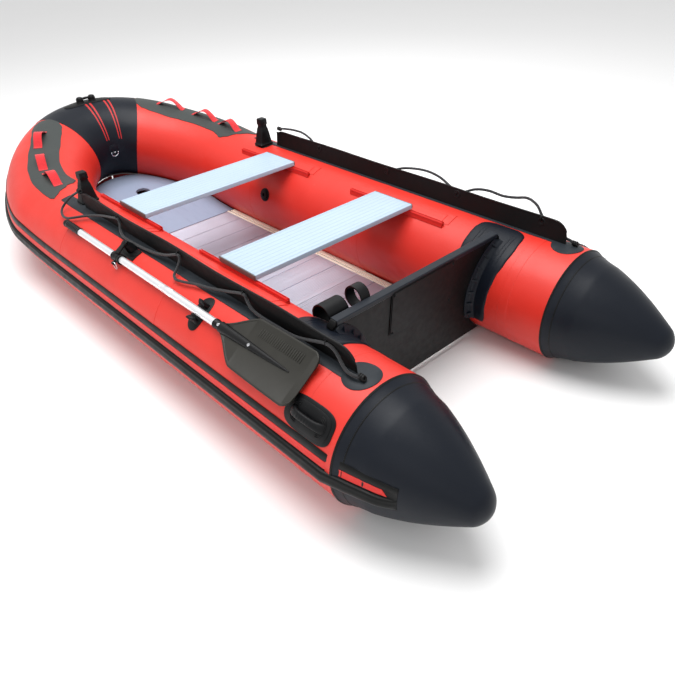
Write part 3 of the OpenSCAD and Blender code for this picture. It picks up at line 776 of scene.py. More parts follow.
def transom():
    outline = board_outline()
    board = Shape().slab(outline, 0.0, BOARD_T, RAKED @ STANDING)
    piece("transom_board", board, "transom", "hull", "transom", bevel=0.002)
    cap = Shape()
    half = HALF_W - 0.024
    section = [(-0.0015, -0.016), (-0.003, -0.014), (-0.003, 0.0005), (0.0, 0.003), (BOARD_T, 0.003),
               (BOARD_T + 0.003, 0.0005), (BOARD_T + 0.003, -0.014), (BOARD_T + 0.0015, -0.016),
               (BOARD_T, -0.0003), (0.0, -0.0003)]
    cap.loft([[RAKED @ Vector((x, y, TR_H + z)) for y, z in section] for x in spread(-half, half, 6)])
    piece("transom_cap", cap, "cap", "hull")
    pads, (lo, hi) = Shape(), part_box("motor_pads")
    w, h, t = hi.x - lo.x, 0.2, 0.006
    for q, y0 in ((-1, -0.0003), (1, BOARD_T + 0.0003)):
        place = RAKED @ Matrix.Translation((0, y0, TR_H - h / 2 - 0.0032)) @ STANDING
        pads.slab(rounded(w, h - 0.006, 0.016), 0, q * t * 0.6, place)
        pads.slab(rounded(w - 0.012, h - 0.018, 0.012), 0, q * t, place, 0.0015 * q)
        for x in (-1, 1):
            for z in (-1, 1):
                spot = place @ Matrix.Translation((x * (w / 2 - 0.014), z * (h / 2 - 0.018), 0))
                screw = ((0.0055, -t), (0.0055, 0.0016), (0.004, 0.003), (0.0015, 0.003), (0.0012, 0.0018))
                pads.lathe([(a, q * (t + b)) for a, b in screw], spot, 14)
    piece("motor_plates", pads, "pad", "hull", "motor_pads")


HOLD_AFT = [(89, -1.15), (97, -1.16), (104, -1.166), (120, -1.172), (135, -1.166), (150, -1.154), (172, -1.144),
            (190, -1.138), (208, -1.13)]
HOLD_FORE = [(89, -0.962), (96, -0.952), (106, -0.944), (125, -0.946), (145, -0.954), (156, -0.978), (172, -0.982),
             (208, -0.984)]


def holders():
    """Rubber saddles: a lobed skin on the tube, flanges up both faces of the board, and gussets between."""
    shape = Shape()
    angles = spread(89.5, 207.5, 44)
    rings = []
    for i, a in enumerate(angles):
        e = min(i, len(angles) - 1 - i)
        crown = (0.25, 0.7, 0.92, 1)[min(e, 3)] * 0.0046
        shrink = (0.035, 0.016, 0.006, 0.0)[min(e, 3)] * (1 if a < 150 else 0.3)
        y0, y1 = through(HOLD_AFT, a) + shrink, through(HOLD_FORE, a) - shrink
        ys = [y0, y0 + 0.001, y0 + 0.004] + spread(y0 + 0.012, y1 - 0.012, 10) + [y1 - 0.004, y1 - 0.001, y1]
        hs = [0.0, 0.45, 0.9] + [1.0] * 11 + [0.9, 0.45, 0.0]
        top = [on(s_of(y), a, 0.0006 + crown * h) for y, h in zip(ys, hs)]
        low = [on(s_of(y), a, 0.0003) for y in (y1 - 0.01, (y0 + y1) / 2, y0 + 0.01)]
        rings.append(top + low)
    shape.loft(rings)
    saddle_r = R + HOLD_T - 0.0006

    def board_point(a, r, y):
        """A point off the tube's axis by r at angle a, y beyond the board's outer face, following its rake."""
        p = Vector((CX + r * cos(radians(a)), 0, R + r * sin(radians(a))))
        p.y = TRANSOM_Y - tan(RAKE) * (p.z - BOARD_FOOT) + y
        return p

    for face, grow, a0, a1 in ((-0.0006, -1, 113, 206), (BOARD_T + 0.0006, 1, 118, 200)):
        rings = []
        for a in spread(a0, a1, 30):
            e = min((a - a0), (a1 - a)) / 6
            tall = 0.03 * smooth(min(1, 0.15 + e))
            foot = 0.026
            section = ((0, 0), (0, foot), (0.003, foot - 0.002), (0.006, 0.012), (0.011, 0.0065),
                       (tall - 0.002, 0.005), (tall, 0.0035), (tall, 0))
            rings.append([board_point(a, saddle_r + r, face + grow * y) for r, y in section])
        shape.loft(rings)
        for a in spread(a0 + 9, a1 - 9, 6):
            half = 0.75
            outline = ((0, 0.004), (0, 0.024), (0.006, 0.02), (0.024, 0.0055), (0.024, 0.004))
            rings = [[board_point(a + q * half, saddle_r + r, face + grow * y) for r, y in outline]
                     for q in (-1, -0.6, 0.6, 1)]
            shape.loft(rings)
    for y in (-1.135, -1.12, -0.998, -0.983):
        rings = []
        for a in spread(100, 140, 16):
            e = sin(pi * (a - 100) / 40) ** 0.4
            rings.append([on(s_of(y + 0.0032 * cos(radians(t))), a,
                             0.0047 + 0.0022 * e * max(0, sin(radians(t)))) for t in range(0, 360, 45)])
        shape.loft(rings)
    piece("transom_saddles", shape.both(), "navy", "hull", "transom_holders", sharp=45)
    show("stern_loops", "rubber", 0.0015)


# ---------------------------------------------------------------- floor
FLOOR_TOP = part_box("mid_panel")[1].z
PANEL_T = FLOOR_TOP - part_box("mid_panel")[0].z
STRINGER_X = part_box("mid_panel")[1].x + 0.0012
STRINGER_LAP_Y, STRINGER_LAP = -0.381, 0.03
PLANK_W, RIB_PITCH = 0.136, 0.0105


def ribbed_panel(y0, y1, half):
    """An extruded floor section: planks joined by narrow grooves, with fine anti-slip ribs across the boat."""
    count = round((y1 - y0) / PLANK_W)
    plank = (y1 - y0) / count
    line = []
    for i in range(count):
        a = y0 + i * plank
        line += [(a + 0.0002, -0.0045), (a + 0.0016, -0.0045), (a + 0.0024, -0.0008), (a + 0.0034, 0.0)]
        ribs = int((plank - 0.012) / RIB_PITCH)
        start = a + (plank - ribs * RIB_PITCH) / 2
        for j in range(ribs):
            b = start + j * RIB_PITCH
            line += [(b + 0.0022, 0.0), (b + 0.0036, 0.0011), (b + 0.0069, 0.0011), (b + 0.0083, 0.0)]
        b = a + plank
        line += [(b - 0.0034, 0.0), (b - 0.0024, -0.0008), (b - 0.0016, -0.0045), (b - 0.0002, -0.0045)]
    outline = [(y, FLOOR_TOP + z) for y, z in line] + [(y1, FLOOR_TOP - PANEL_T), (y0, FLOOR_TOP - PANEL_T)]
    return Shape().across(outline, (-half, half))


def floor():
    for name in ("fore_panel", "mid_panel", "aft_panel"):
        lo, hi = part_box(name)
        piece(f"{name}_planks", ribbed_panel(lo.y, hi.y, hi.x), "floor", "hull", name,
              sharp=30)
        ends = Shape()
        for q in (-1, 1):
            section = [(hi.x - 0.012, FLOOR_TOP + 0.0022), (hi.x - 0.011, FLOOR_TOP + 0.003),
                       (hi.x + 0.0004, FLOOR_TOP + 0.003), (hi.x + 0.0006, FLOOR_TOP - PANEL_T - 0.0005),
                       (hi.x - 0.012, FLOOR_TOP - PANEL_T - 0.0005), (hi.x - 0.012, FLOOR_TOP - PANEL_T),
                       (hi.x - 0.0004, FLOOR_TOP - PANEL_T), (hi.x - 0.0008, FLOOR_TOP + 0.0015),
                       (hi.x - 0.012, FLOOR_TOP + 0.0012)]
            ends.lengthwise(section, (lo.y + 0.001, hi.y - 0.001), q)
        piece(f"{name}_edges", ends, "stringer", "hull")
    joints = Shape()
    for a, b in (("aft_panel", "mid_panel"), ("mid_panel", "fore_panel")):
        y, half = (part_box(a)[1].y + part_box(b)[0].y) / 2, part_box(a)[1].x - 0.013
        section = [(-0.016, 0.0012), (-0.015, 0.0026), (-0.004, 0.003), (0.004, 0.003), (0.015, 0.0026),
                   (0.016, 0.0012)]
        joints.across([(y + v, FLOOR_TOP + z) for v, z in section], (-half, half))
    piece("panel_joiners", joints, "floor", "hull")
    show("bow_board", "board", 0.003)
    sides = Shape()
    lo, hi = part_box("stringers")
    for y0, y1, off in ((lo.y, STRINGER_LAP_Y + STRINGER_LAP, 0.0), (STRINGER_LAP_Y - STRINGER_LAP, hi.y, 0.0045)):
        rise = 0.0008 if off else 0.0
        x0, x1, z0, z1 = STRINGER_X + off * 0.2, hi.x - 0.0045 + off, lo.z, hi.z - 0.0008 + rise
        section = [(x0, z0), (x0, z0 + 0.0035), (x0 + 0.01, z0 + 0.0045), (x0 + 0.0115, z1 - 0.006),
                   (x0 + 0.001, z1 - 0.0055), (x0, z1 - 0.004), (x0, z1 - 0.0012), (x0 + 0.0012, z1),
                   (x0 + 0.0085, z1), (x0 + 0.0098, z1 - 0.0012), (x0 + 0.0105, z1 - 0.0035),
                   (x0 + 0.014, z1 - 0.0035), (x0 + 0.0147, z1 - 0.0012), (x0 + 0.016, z1),
                   (x1 - 0.0015, z1), (x1, z1 - 0.0015), (x1, z0 + 0.0015), (x1 - 0.0015, z0)]
        for q in (-1, 1):
            sides.lengthwise(section, (y0, y1), q)
    piece("stringer_rails", sides, "stringer", "hull", "stringers", sharp=30)


# ---------------------------------------------------------------- seats and their tracks
SEAT_T, BEAD_R, BEAD_DROP = 0.022, 0.0045, 0.0105
BEAD_HALF, BEAD_IN = 0.1, 0.01
TRACK_L, TRACK_MIDS = 0.56, (0.335, -0.535)


def plank_shape(lo, hi):
    """A hollow-looking extrusion: grooved top, rounded edges and a lip below both long edges."""
    y0, y1, z1 = lo.y, hi.y, hi.z
    z0 = z1 - SEAT_T
    w = y1 - y0
    top = []
    grooves = [0.014, 0.0195] + [0.04 + i * (w - 0.08) / 6 for i in range(7)] + [w - 0.0195, w - 0.014]
    for g in grooves:
        top += [(y0 + g - 0.0011, z1), (y0 + g - 0.0004, z1 - 0.0008), (y0 + g + 0.0004, z1 - 0.0008),
                (y0 + g + 0.0011, z1)]
    line = [(y0, z0 + 0.002), (y0, z1 - 0.005), (y0 + 0.0012, z1 - 0.0018), (y0 + 0.0045, z1)] + top + \
           [(y1 - 0.0045, z1), (y1 - 0.0012, z1 - 0.0018), (y1, z1 - 0.005), (y1, z0 + 0.002), (y1 - 0.002, z0),
            (y1 - 0.018, z0), (y1 - 0.018, z0 + 0.003), (y0 + 0.018, z0 + 0.003), (y0 + 0.018, z0), (y0 + 0.002, z0)]
    return Shape().across(line, (lo.x + 0.004, hi.x - 0.004))


def seats():
    for name in ("fore_seat", "aft_seat"):
        lo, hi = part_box(name)
        piece(f"{name}_plank", plank_shape(lo, hi), "seat", name, name, sharp=30)
        mid = (lo.y + hi.y) / 2
        ends, beads = Shape(), Shape()
        for q in (-1, 1):
            place = Matrix(((0, 0, q, q * (hi.x - 0.0042)), (1, 0, 0, mid), (0, 1, 0, hi.z - SEAT_T / 2),
                            (0, 0, 0, 1)))
            ends.slab(rounded(hi.y - lo.y, SEAT_T, 0.004, 4), -0.001, 0.0042, place, 0.001)
            y0, y1 = mid - BEAD_HALF, mid + BEAD_HALF
            x, z = q * (hi.x - BEAD_IN), hi.z - SEAT_T - BEAD_DROP
            beads.pipe([(x, y, z) for y in spread(y0, y1, 8)], BEAD_R, 16)
            neck = [(x - 0.0012, z + 0.002), (x + 0.0012, z + 0.002), (x + 0.0012, z + BEAD_DROP),
                    (x + 0.006, z + BEAD_DROP + 0.0003), (x + 0.006, z + BEAD_DROP + 0.0012),
                    (x - 0.006, z + BEAD_DROP + 0.0012), (x - 0.006, z + BEAD_DROP + 0.0003),
                    (x - 0.0012, z + BEAD_DROP)]
            beads.lengthwise(neck, (y0, y1))
        piece(f"{name}_ends", ends, "seat_end", name)
        piece(f"{name}_beads", beads, "seat", name)


def tracks():
    """Fabric flanges glued to the tube with stepped ends, and a slotted channel that grips the bench's bead."""
    flanges, channels = Shape(), Shape()
    rail_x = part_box("aft_seat")[1].x - BEAD_IN
    bead_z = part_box("aft_seat")[1].z - SEAT_T - BEAD_DROP
    for y_mid in TRACK_MIDS:
        y0, y1 = y_mid - TRACK_L / 2, y_mid + TRACK_L / 2
        edge = degrees(acos((rail_x + 0.012 - CX) / (R + 0.004)))
        for a0, a1, more, h in ((100, edge, 0.018, 0.0022), (104, edge - 1, -0.02, 0.0038)):
            ss = [s_of(y) for y in spread(y0 - more, y1 + more, 12)]
            flanges.sweep(ss, lambda s, a0=a0, a1=a1, h=h: [(a0, 0.0004), (a0 + 0.1, h * 0.8), (a0 + 0.5, h)]
                          + [(a, h) for a in spread(a0 + 2, a1 - 0.6, 8)] + [(a1, h * 0.8), (a1, 0.0004),
                                                                           ((a0 + a1) / 2, 0.0004)])
        wall, r = 0.0028, BEAD_R + 0.0006
        outer = [(rail_x + (r + wall) * cos(radians(a)), bead_z + (r + wall) * sin(radians(a)))
                 for a in range(66, -247, -18)]
        inner = [(rail_x + r * cos(radians(a)), bead_z + r * sin(radians(a)))
                 for a in range(-246, 67, 18)]
        channels.lengthwise(outer + inner, spread(y0, y1, 10))
        foot = [(rail_x - 0.007, bead_z - 0.004), (rail_x + 0.007, bead_z - 0.004)]
        for x in (rail_x + 0.0095, rail_x - 0.0095):
            a = degrees(acos((x - CX) / (R + 0.002)))
            foot.append((x, R + (R + 0.002) * sin(radians(a))))
        channels.lengthwise(foot, spread(y0, y1, 10))
    piece("track_flanges", flanges.both(), "red", "hull", "seat_tracks", sharp=30)
    piece("track_channels", channels.both(), "trim_red", "hull", sharp=40)


# ---------------------------------------------------------------- side flaps
FIN_A, FIN_H, FIN_T = 84, 0.084, 0.003
FIN_AFT, FIN_FORE, BAND_FORE = -1.31, 0.48, 0.68
GROMMETS = (0.13, -0.35, -0.77, -1.19)
GROMMET_DROP = 0.026
DISC_R = 0.062


def flap_bend(y, h):
    """How far the flap leans: a slight wave that grows with height, and a fold outwards at the aft end."""
    up = h / FIN_H
    wave = 0.0032 * sin(y * 9.5 + 1.2) * up**1.5
    curl = 0.02 * smooth((FIN_AFT + 0.16 - y) / 0.16) * up * up
    return wave - curl * 0.2


def flap_point(y, h, off):
    a = radians(FIN_A)
    out = Vector((cos(a), 0, sin(a)))
    across = Vector((sin(a), 0, -cos(a)))
    return Vector((CX, y, R)) + out * (R + 0.0018 + h) + across * (off + flap_bend(y, h))


def flap_height(y):
    """The top edge: rounded down at the aft end, clipped at the fore end."""
    d = y - FIN_AFT
    if d < 0.06:
        return FIN_H - 0.06 + sqrt(max(0, 0.06**2 - (0.06 - d) ** 2))
    return FIN_H - 0.012 * smooth((y - FIN_FORE + 0.05) / 0.05)


def flaps():
    for side, k in SIDES.items():
        ys = spread(FIN_AFT + 0.0005, FIN_AFT + 0.06, 10) + spread(FIN_AFT + 0.07, FIN_FORE, 110)
        rings = []
        for y in ys:
            tall = flap_height(y) - 0.004
            up = [flap_point(y, tall * i / 7, FIN_T / 2) for i in range(8)]
            rings.append(up + [flap_point(y, tall * i / 7, -FIN_T / 2) for i in range(7, -1, -1)])
        cloth = piece(f"{side}_flap", Shape().loft(rings).mirrored(k), "flap", "hull",
                      f"{side}_fin")
        hem = Shape().pipe([flap_point(y, flap_height(y) - 0.004, 0) for y in ys[1:]], 0.0036, 12)
        for y in GROMMETS:
            spot = flap_point(y, FIN_H - GROMMET_DROP, 0)
            out = (flap_point(y, FIN_H, 0) - flap_point(y, 0, 0)).normalized()
            face = Vector((0, 1, 0)).cross(out).normalized()
            basis = Matrix((Vector((0, 1, 0)), out, face)).transposed().to_4x4()
            basis.translation = spot
            for q in (-1, 1):
                hem.lathe([(0.0085, 0), (0.0165, 0), (0.0165, q * 0.0022), (0.015, q * 0.0034), (0.0105, q * 0.0034),
                           (0.0085, q * 0.0026)], basis, 24)
        piece(f"{side}_flap_hem", hem.mirrored(k), "black", "hull")
        band = Shape()
        fore = s_of(BAND_FORE)
        ss = spread(s_of(FIN_AFT), 0, 30) + spread(fore / 4, fore, 4)
        section = [(74, 0.0004), (74.2, 0.0018), (75, 0.0026)] + [(a, 0.0026) for a in spread(77, 83, 3)] + [
            (83.4, 0.0032), (85.6, 0.0032), (86, 0.0026), (87.4, 0.0026), (88, 0.0016), (88, 0.0004), (80, 0.0004)]
        band.sweep(ss, lambda s: section)
        piece(f"{side}_flap_band", band.mirrored(k), "charcoal", "hull")
        disc, rings = Shape(), []
        mid_x, mid_y = CX + 0.018, FIN_AFT - 0.012
        for r, h in ((0.998, 0.0004), (1.0, 0.0016), (0.97, 0.0028), (0.5, 0.003), (0.02, 0.003)):
            ring = []
            for i in range(48):
                t = 2 * pi * i / 48
                x, y = mid_x + DISC_R * r * cos(t), mid_y + DISC_R * r * sin(t)
                a = degrees(acos((x - CX) / R))
                ring.append(on(s_of(y), a, h))
            rings.append(ring)
        disc.loft(rings)
        piece(f"{side}_flap_disc", disc.mirrored(k), "charcoal", "hull")


# ---------------------------------------------------------------- lifelines
ROPE_D = 0.011
ROUTES = {
    "port": ((0.581, 0.47, 0.547), (0.586, 0.502, 0.53), (0.604, 0.548, 0.5), (0.634, 0.57, 0.464),
             (0.656, 0.552, 0.448), (0.668, 0.512, 0.44), (0.664, 0.47, 0.442), (0.646, 0.43, 0.452),
             (0.622, 0.39, 0.462), (0.6, 0.34, 0.473), (0.586, 0.28, 0.486), (0.58, 0.21, 0.5),
             (0.5795, 0.13, 0.516), (0.58, 0.11, 0.502), (0.592, 0.092, 0.48), (0.601, 0.06, 0.467),
             (0.603, 0.02, 0.465), (0.602, -0.04, 0.465), (0.599, -0.11, 0.467), (0.593, -0.19, 0.473),
             (0.585, -0.27, 0.488), (0.5795, -0.35, 0.516), (0.582, -0.366, 0.5), (0.602, -0.372, 0.474),
             (0.624, -0.382, 0.459), (0.634, -0.41, 0.455), (0.628, -0.45, 0.458), (0.612, -0.51, 0.465),
             (0.598, -0.59, 0.474), (0.585, -0.68, 0.492), (0.5795, -0.77, 0.516), (0.58, -0.79, 0.5),
             (0.586, -0.82, 0.482), (0.588, -0.88, 0.473), (0.588, -0.96, 0.473), (0.587, -1.05, 0.478),
             (0.582, -1.12, 0.495), (0.5795, -1.19, 0.516), (0.579, -1.23, 0.508), (0.586, -1.262, 0.488),
             (0.592, -1.29, 0.474), (0.59, -1.32, 0.47), (0.578, -1.345, 0.469)),
    "starboard": ((0.581, 0.47, 0.547), (0.582, 0.42, 0.556), (0.592, 0.35, 0.56), (0.598, 0.29, 0.556),
                  (0.596, 0.23, 0.54), (0.584, 0.18, 0.524), (0.5795, 0.13, 0.516), (0.58, 0.11, 0.502),
                  (0.592, 0.092, 0.48), (0.601, 0.06, 0.467), (0.603, 0.02, 0.465), (0.602, -0.04, 0.465),
                  (0.599, -0.11, 0.467), (0.593, -0.19, 0.473), (0.585, -0.27, 0.488), (0.5795, -0.35, 0.516),
                  (0.58, -0.39, 0.528), (0.59, -0.44, 0.545), (0.6, -0.51, 0.556), (0.602, -0.58, 0.56),
                  (0.598, -0.65, 0.552), (0.586, -0.72, 0.532), (0.5795, -0.77, 0.516), (0.58, -0.8, 0.53),
                  (0.592, -0.85, 0.552), (0.6, -0.91, 0.56), (0.602, -0.98, 0.556), (0.6, -1.04, 0.566),
                  (0.596, -1.1, 0.582), (0.588, -1.15, 0.57), (0.582, -1.18, 0.54), (0.5795, -1.205, 0.512),
                  (0.581, -1.24, 0.492), (0.588, -1.275, 0.476), (0.59, -1.31, 0.47), (0.578, -1.345, 0.469)),
}


def curved(points, per=5):
    """A smooth line through the points."""
    p = [Vector(q) for q in points]
    out = []
    for i in range(len(p) - 1):
        a, b, c, d = p[max(i - 1, 0)], p[i], p[i + 1], p[min(i + 2, len(p) - 1)]
        for j in range(per):
            t = j / per
            out.append(0.5 * (2 * b + (c - a) * t + (2 * a - 5 * b + 4 * c - d) * t * t
                              + (3 * b - a - 3 * c + d) * t**3))
    return out + [p[-1]]


def lifelines():
    for side, k in SIDES.items():
        line = [Vector((p.x * k, p.y, p.z)) for p in curved(ROUTES[side])]
        rope = piece(f"{side}_rope", Shape().pipe(line, ROPE_D / 2, 14), "rope", "hull",
                     f"{side}_lifeline", sharp=60)
        ties = Shape()
        for y in GROMMETS:
            at = min(line, key=lambda p: abs(p.y - y) + (0.02 if p.z < 0.505 else 0))
            turn = [at + Vector((k * (0.0082 * cos(t) - 0.0045), 0.004 * sin(t * 0.5), 0.0088 * sin(t)))
                    for t in [2 * pi * i / 20 for i in range(20)]]
            ties.pipe(turn, 0.0026, 10, loop=True)
        for spot, turn in ((line[0], -1), (line[-1], 1)):
            for i in range(3):
                c = spot + Vector((0, (0.01 - i * 0.0075) * turn, 0.0))
                ties.pipe([c + Vector((0.0066 * cos(t), 0.0025 * sin(t), 0.0066 * sin(t)))
                           for t in [2 * pi * j / 18 for j in range(18)]], 0.0042, 10, loop=True)
        ties = piece(f"{side}_rope_ties", ties, "black", "hull")


# ---------------------------------------------------------------- bow fittings
PAD_IN = [(0.18, 72), (0.2, 80), (0.235, 95), (0.27, 110), (0.3, 116), (0.36, 114), (0.41, 112), (0.53, 112),
          (0.62, 114), (0.68, 116), (0.76, 115), (0.81, 112), (0.832, 105), (0.842, 92)]
PAD_OUT = [(0.18, 70), (0.2, 67.5), (0.25, 67), (0.38, 68), (0.5, 70), (0.6, 74), (0.68, 77), (0.74, 75),
           (0.79, 70), (0.815, 68.5), (0.832, 71), (0.842, 84)]
GRAB_S = (0.34, 0.53, 0.7)
GRAB_W, GRAB_L, GRAB_H = 0.044, 0.17, 0.044


def grab_pad():
    def ring(s):
        a0, a1 = through(PAD_OUT, s), through(PAD_IN, s)
        e = min(1, min(s - 0.178, 0.844 - s) / 0.004)
        top = 0.001 + 0.0026 * e
        return [(a0, 0.0006), (a0 + 0.15, top * 0.75), (a0 + 0.8, top)] + \
            [(a, top) for a in spread(a0 + 1.6, a1 - 1.6, 10)] + \
            [(a1 - 0.8, top), (a1 - 0.15, top * 0.75), (a1, 0.0006), ((a0 + a1) / 2, 0.0004)]
    ss = sorted(set([0.18, 0.182, 0.185, 0.19, 0.196] + spread(0.2, 0.82, 60) + [0.826, 0.832, 0.836, 0.839, 0.842]))
    return Shape().sweep(ss, ring)


def strap(s):
    """One webbing loop: flat feet on the pad, an arch between them, and a cross-stitched bar at each foot."""
    place = tube_matrix(s, 90, 0.0036)
    half, web = GRAB_L / 2, 0.0024
    line = []
    for i in range(41):
        t = -1 + i / 20
        lift = GRAB_H * 0.93 * cos(t * pi / 2) ** 1.25 if abs(t) < 1 else 0
        line.append((t * (half - 0.012), 0.0012 + lift))
    line = [(-half, 0.001), (-half + 0.006, 0.0011)] + line + [(half - 0.006, 0.0011), (half, 0.001)]
    rings = []
    for i, (y, z) in enumerate(line):
        a, b = line[max(i - 1, 0)], line[min(i + 1, len(line) - 1)]
        t = Vector((0, b[0] - a[0], b[1] - a[1])).normalized()
        n = Vector((0, -t.z, t.y))
        w = GRAB_W / 2
        twist = 0.0015 * sin(i * 0.3)
        section = [(-w, -0.4), (-w + 0.0015, -1), (w - 0.0015, -1), (w, -0.4), (w, 0.4), (w - 0.0015, 1),
                   (-w + 0.0015, 1), (-w, 0.4)]
        rings.append([place @ (Vector((x, y, z + twist * x / w)) + n * (q * web / 2)) for x, q in section])
    shape = Shape().loft(rings)
    stitch = Shape()
    for q in (-1, 1):
        for x in spread(-GRAB_W / 2 + 0.006, GRAB_W / 2 - 0.006, 6):
            y0 = q * (half - 0.009)
            stitch.slab(rounded(0.0035, 0.0012, 0.0005, 2, x, y0), 0.002, 0.003, place)
            stitch.slab(rounded(0.0012, 0.006, 0.0005, 2, x, y0 - q * 0.004), 0.002, 0.003, place)
    return shape, stitch


def grabs():
    for side, k in SIDES.items():
        piece(f"{side}_grab_pad", grab_pad().mirrored(k), "pad_cloth", "hull",
              f"{side}_grabs", sharp=40)
        straps, stitches = Shape(), Shape()
        for s in GRAB_S:
            a, b = strap(s)
            straps.join(a)
            stitches.join(b)
        piece(f"{side}_grab_straps", straps.mirrored(k), "webbing", "hull")
        piece(f"{side}_grab_stitches", stitches.mirrored(k), "trim_red", "hull")


def nose_handle():
    """A moulded handle on the nose: an oval patch, two rounded stubs and a bar between them."""
    shape = Shape()
    place = tube_matrix(1, 91)
    glued(shape, oval(0.04, 0.066, 44, 2.6), at_nose(91),
          ((1.0, 0.0018), (1.0, 0.0036), (0.97, 0.0048), (0.6, 0.0052), (0.05, 0.0052)))
    for q in (-1, 1):
        spot = place @ Matrix.Translation((0, q * 0.037, 0.0025))
        shape.lathe([(0.024, 0), (0.0228, 0.003), (0.0205, 0.007), (0.0198, 0.017), (0.019, 0.023), (0.0165, 0.0275),
                     (0.012, 0.03), (0.004, 0.031)], spot, 36)
        for z in (0.01, 0.014, 0.018):
            shape.lathe([(0.0196, z - 0.0014), (0.021, z - 0.0008), (0.021, z + 0.0008), (0.0196, z + 0.0014)],
                        spot, 36)
    bar = []
    for y in spread(-0.037, 0.037, 16):
        z = 0.019 + 0.0035 * cos(y / 0.037 * pi / 2)
        bar.append([place @ Vector((x, y, z + v)) for x, v in rounded(0.02, 0.0115, 0.0052, 4)])
    shape.loft(bar)
    piece("nose_handle", shape, "rubber", "hull", "bow_handle", sharp=45)


def tow_ring():
    show("bow_ring", "steel").data.shade_smooth()
    shape = Shape()
    angle = 186
    glued(shape, oval(0.042, 0.034, 40, 3), at_nose(angle),
          ((1.0, 0.001), (1.0, 0.0024), (0.96, 0.0034), (0.5, 0.0038), (0.04, 0.0038)))
    place = tube_matrix(1, angle)
    for q in (-1, 1):
        rows = []
        for t in spread(0, 1, 14):
            a = radians(lerp(-60, 240, t))
            x, z = 0.0062 * cos(a), 0.012 + 0.0062 * sin(a)
            n = Vector((cos(a), 0, sin(a))) * 0.0011
            c = Vector((x, 0, z))
            rows.append([place @ (c + n * b + Vector((0, q * 0.011 + 0.005 * d, 0)))
                         for b, d in ((1, -1), (1, 1), (-1, 1), (-1, -1))])
        shape.loft(rows)
    piece("tow_patch", shape, "navy", "hull", "ring_patch", sharp=40)


# ---------------------------------------------------------------- fittings on the tubes
POST_OUT, POST_Y, POST_H = 0.018, 0.545, 0.14


def posts():
    """A tapered rubber bracket with ribbed faces, a waisted neck and a blocky head."""
    shape = Shape()
    lo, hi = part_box("posts")
    x0, y0 = CX - POST_OUT, POST_Y
    z0, tall = lo.z, hi.z - lo.z
    levels = [(0.0, 0.086, 0.066), (0.006, 0.086, 0.066), (0.009, 0.079, 0.06), (0.02, 0.073, 0.056),
              (0.06, 0.058, 0.05), (0.088, 0.045, 0.043), (0.093, 0.04, 0.038), (0.104, 0.037, 0.036),
              (0.107, 0.038, 0.037), (0.109, 0.04, 0.042), (0.112, 0.042, 0.045), (0.134, 0.04, 0.043),
              (0.139, 0.038, 0.041), (0.14, 0.033, 0.036)]
    rings = [[Vector((x0 + x, y0 + y, z0 + z * tall / POST_H)) for x, y in rounded(w, d, min(w, d) * 0.14, 5)]
             for z, w, d in levels]
    shape.loft(rings)
    for q in (-1, 1):
        for x in (-0.016, 0, 0.016):
            rows = []
            for z in spread(0.012, 0.076, 8):
                d = lerp(0.06, 0.039, z / 0.09) / 2
                c = x * lerp(1, 0.45, z / 0.1)
                rows.append([Vector((x0 + c + a, y0 + q * (d + b), z0 + z)) for a, b in
                             ((-0.0035, -0.004), (-0.0028, 0.0012), (0.0028, 0.0012), (0.0035, -0.004))])
            shape.loft(rows)
    glued(shape, oval(0.05, 0.044, 40, 3.2), along(y0, 90 + degrees(POST_OUT / R)),
          ((1.0, 0.0004), (1.0, 0.0022), (0.96, 0.0032), (0.5, 0.004), (0.03, 0.0042)))
    pin = Matrix.Translation((x0, y0, z0 + 0.123)) @ Matrix.Rotation(pi / 2, 4, "X")
    shape.lathe([(0.0065, -0.024), (0.0075, -0.023), (0.0075, 0.023), (0.0065, 0.024), (0.002, 0.0245)], pin, 20)
    piece("post_brackets", shape.both(), "rubber", "hull", "posts", sharp=40)


def valves():
    shape = Shape()
    place = Matrix.Translation((CX, 0.304, R)) @ Matrix.Rotation(radians(90 - 164), 4, "Y") \
        @ Matrix.Translation((0, 0, R))
    shape.lathe([(0.034, -0.004), (0.0345, 0.0012), (0.033, 0.0034), (0.027, 0.0042), (0.0262, 0.003),
                 (0.025, 0.003), (0.0243, 0.011), (0.0228, 0.012), (0.01, 0.012), (0.009, 0.011),
                 (0.009, 0.004), (0.001, 0.0036)], place, 48)
    for i in range(12):
        t = 2 * pi * i / 12
        grip = place @ Matrix.Rotation(t, 4, "Z") @ Matrix.Translation((0.0246, 0, 0.007))
        shape.slab(rounded(0.0022, 0.005, 0.001, 3), -0.0035, 0.004, grip)
    piece("valve_caps", shape.both(), "black", "hull", "valves", sharp=35)


HANDLE_Y, HANDLE_A = -1.27, 34.5


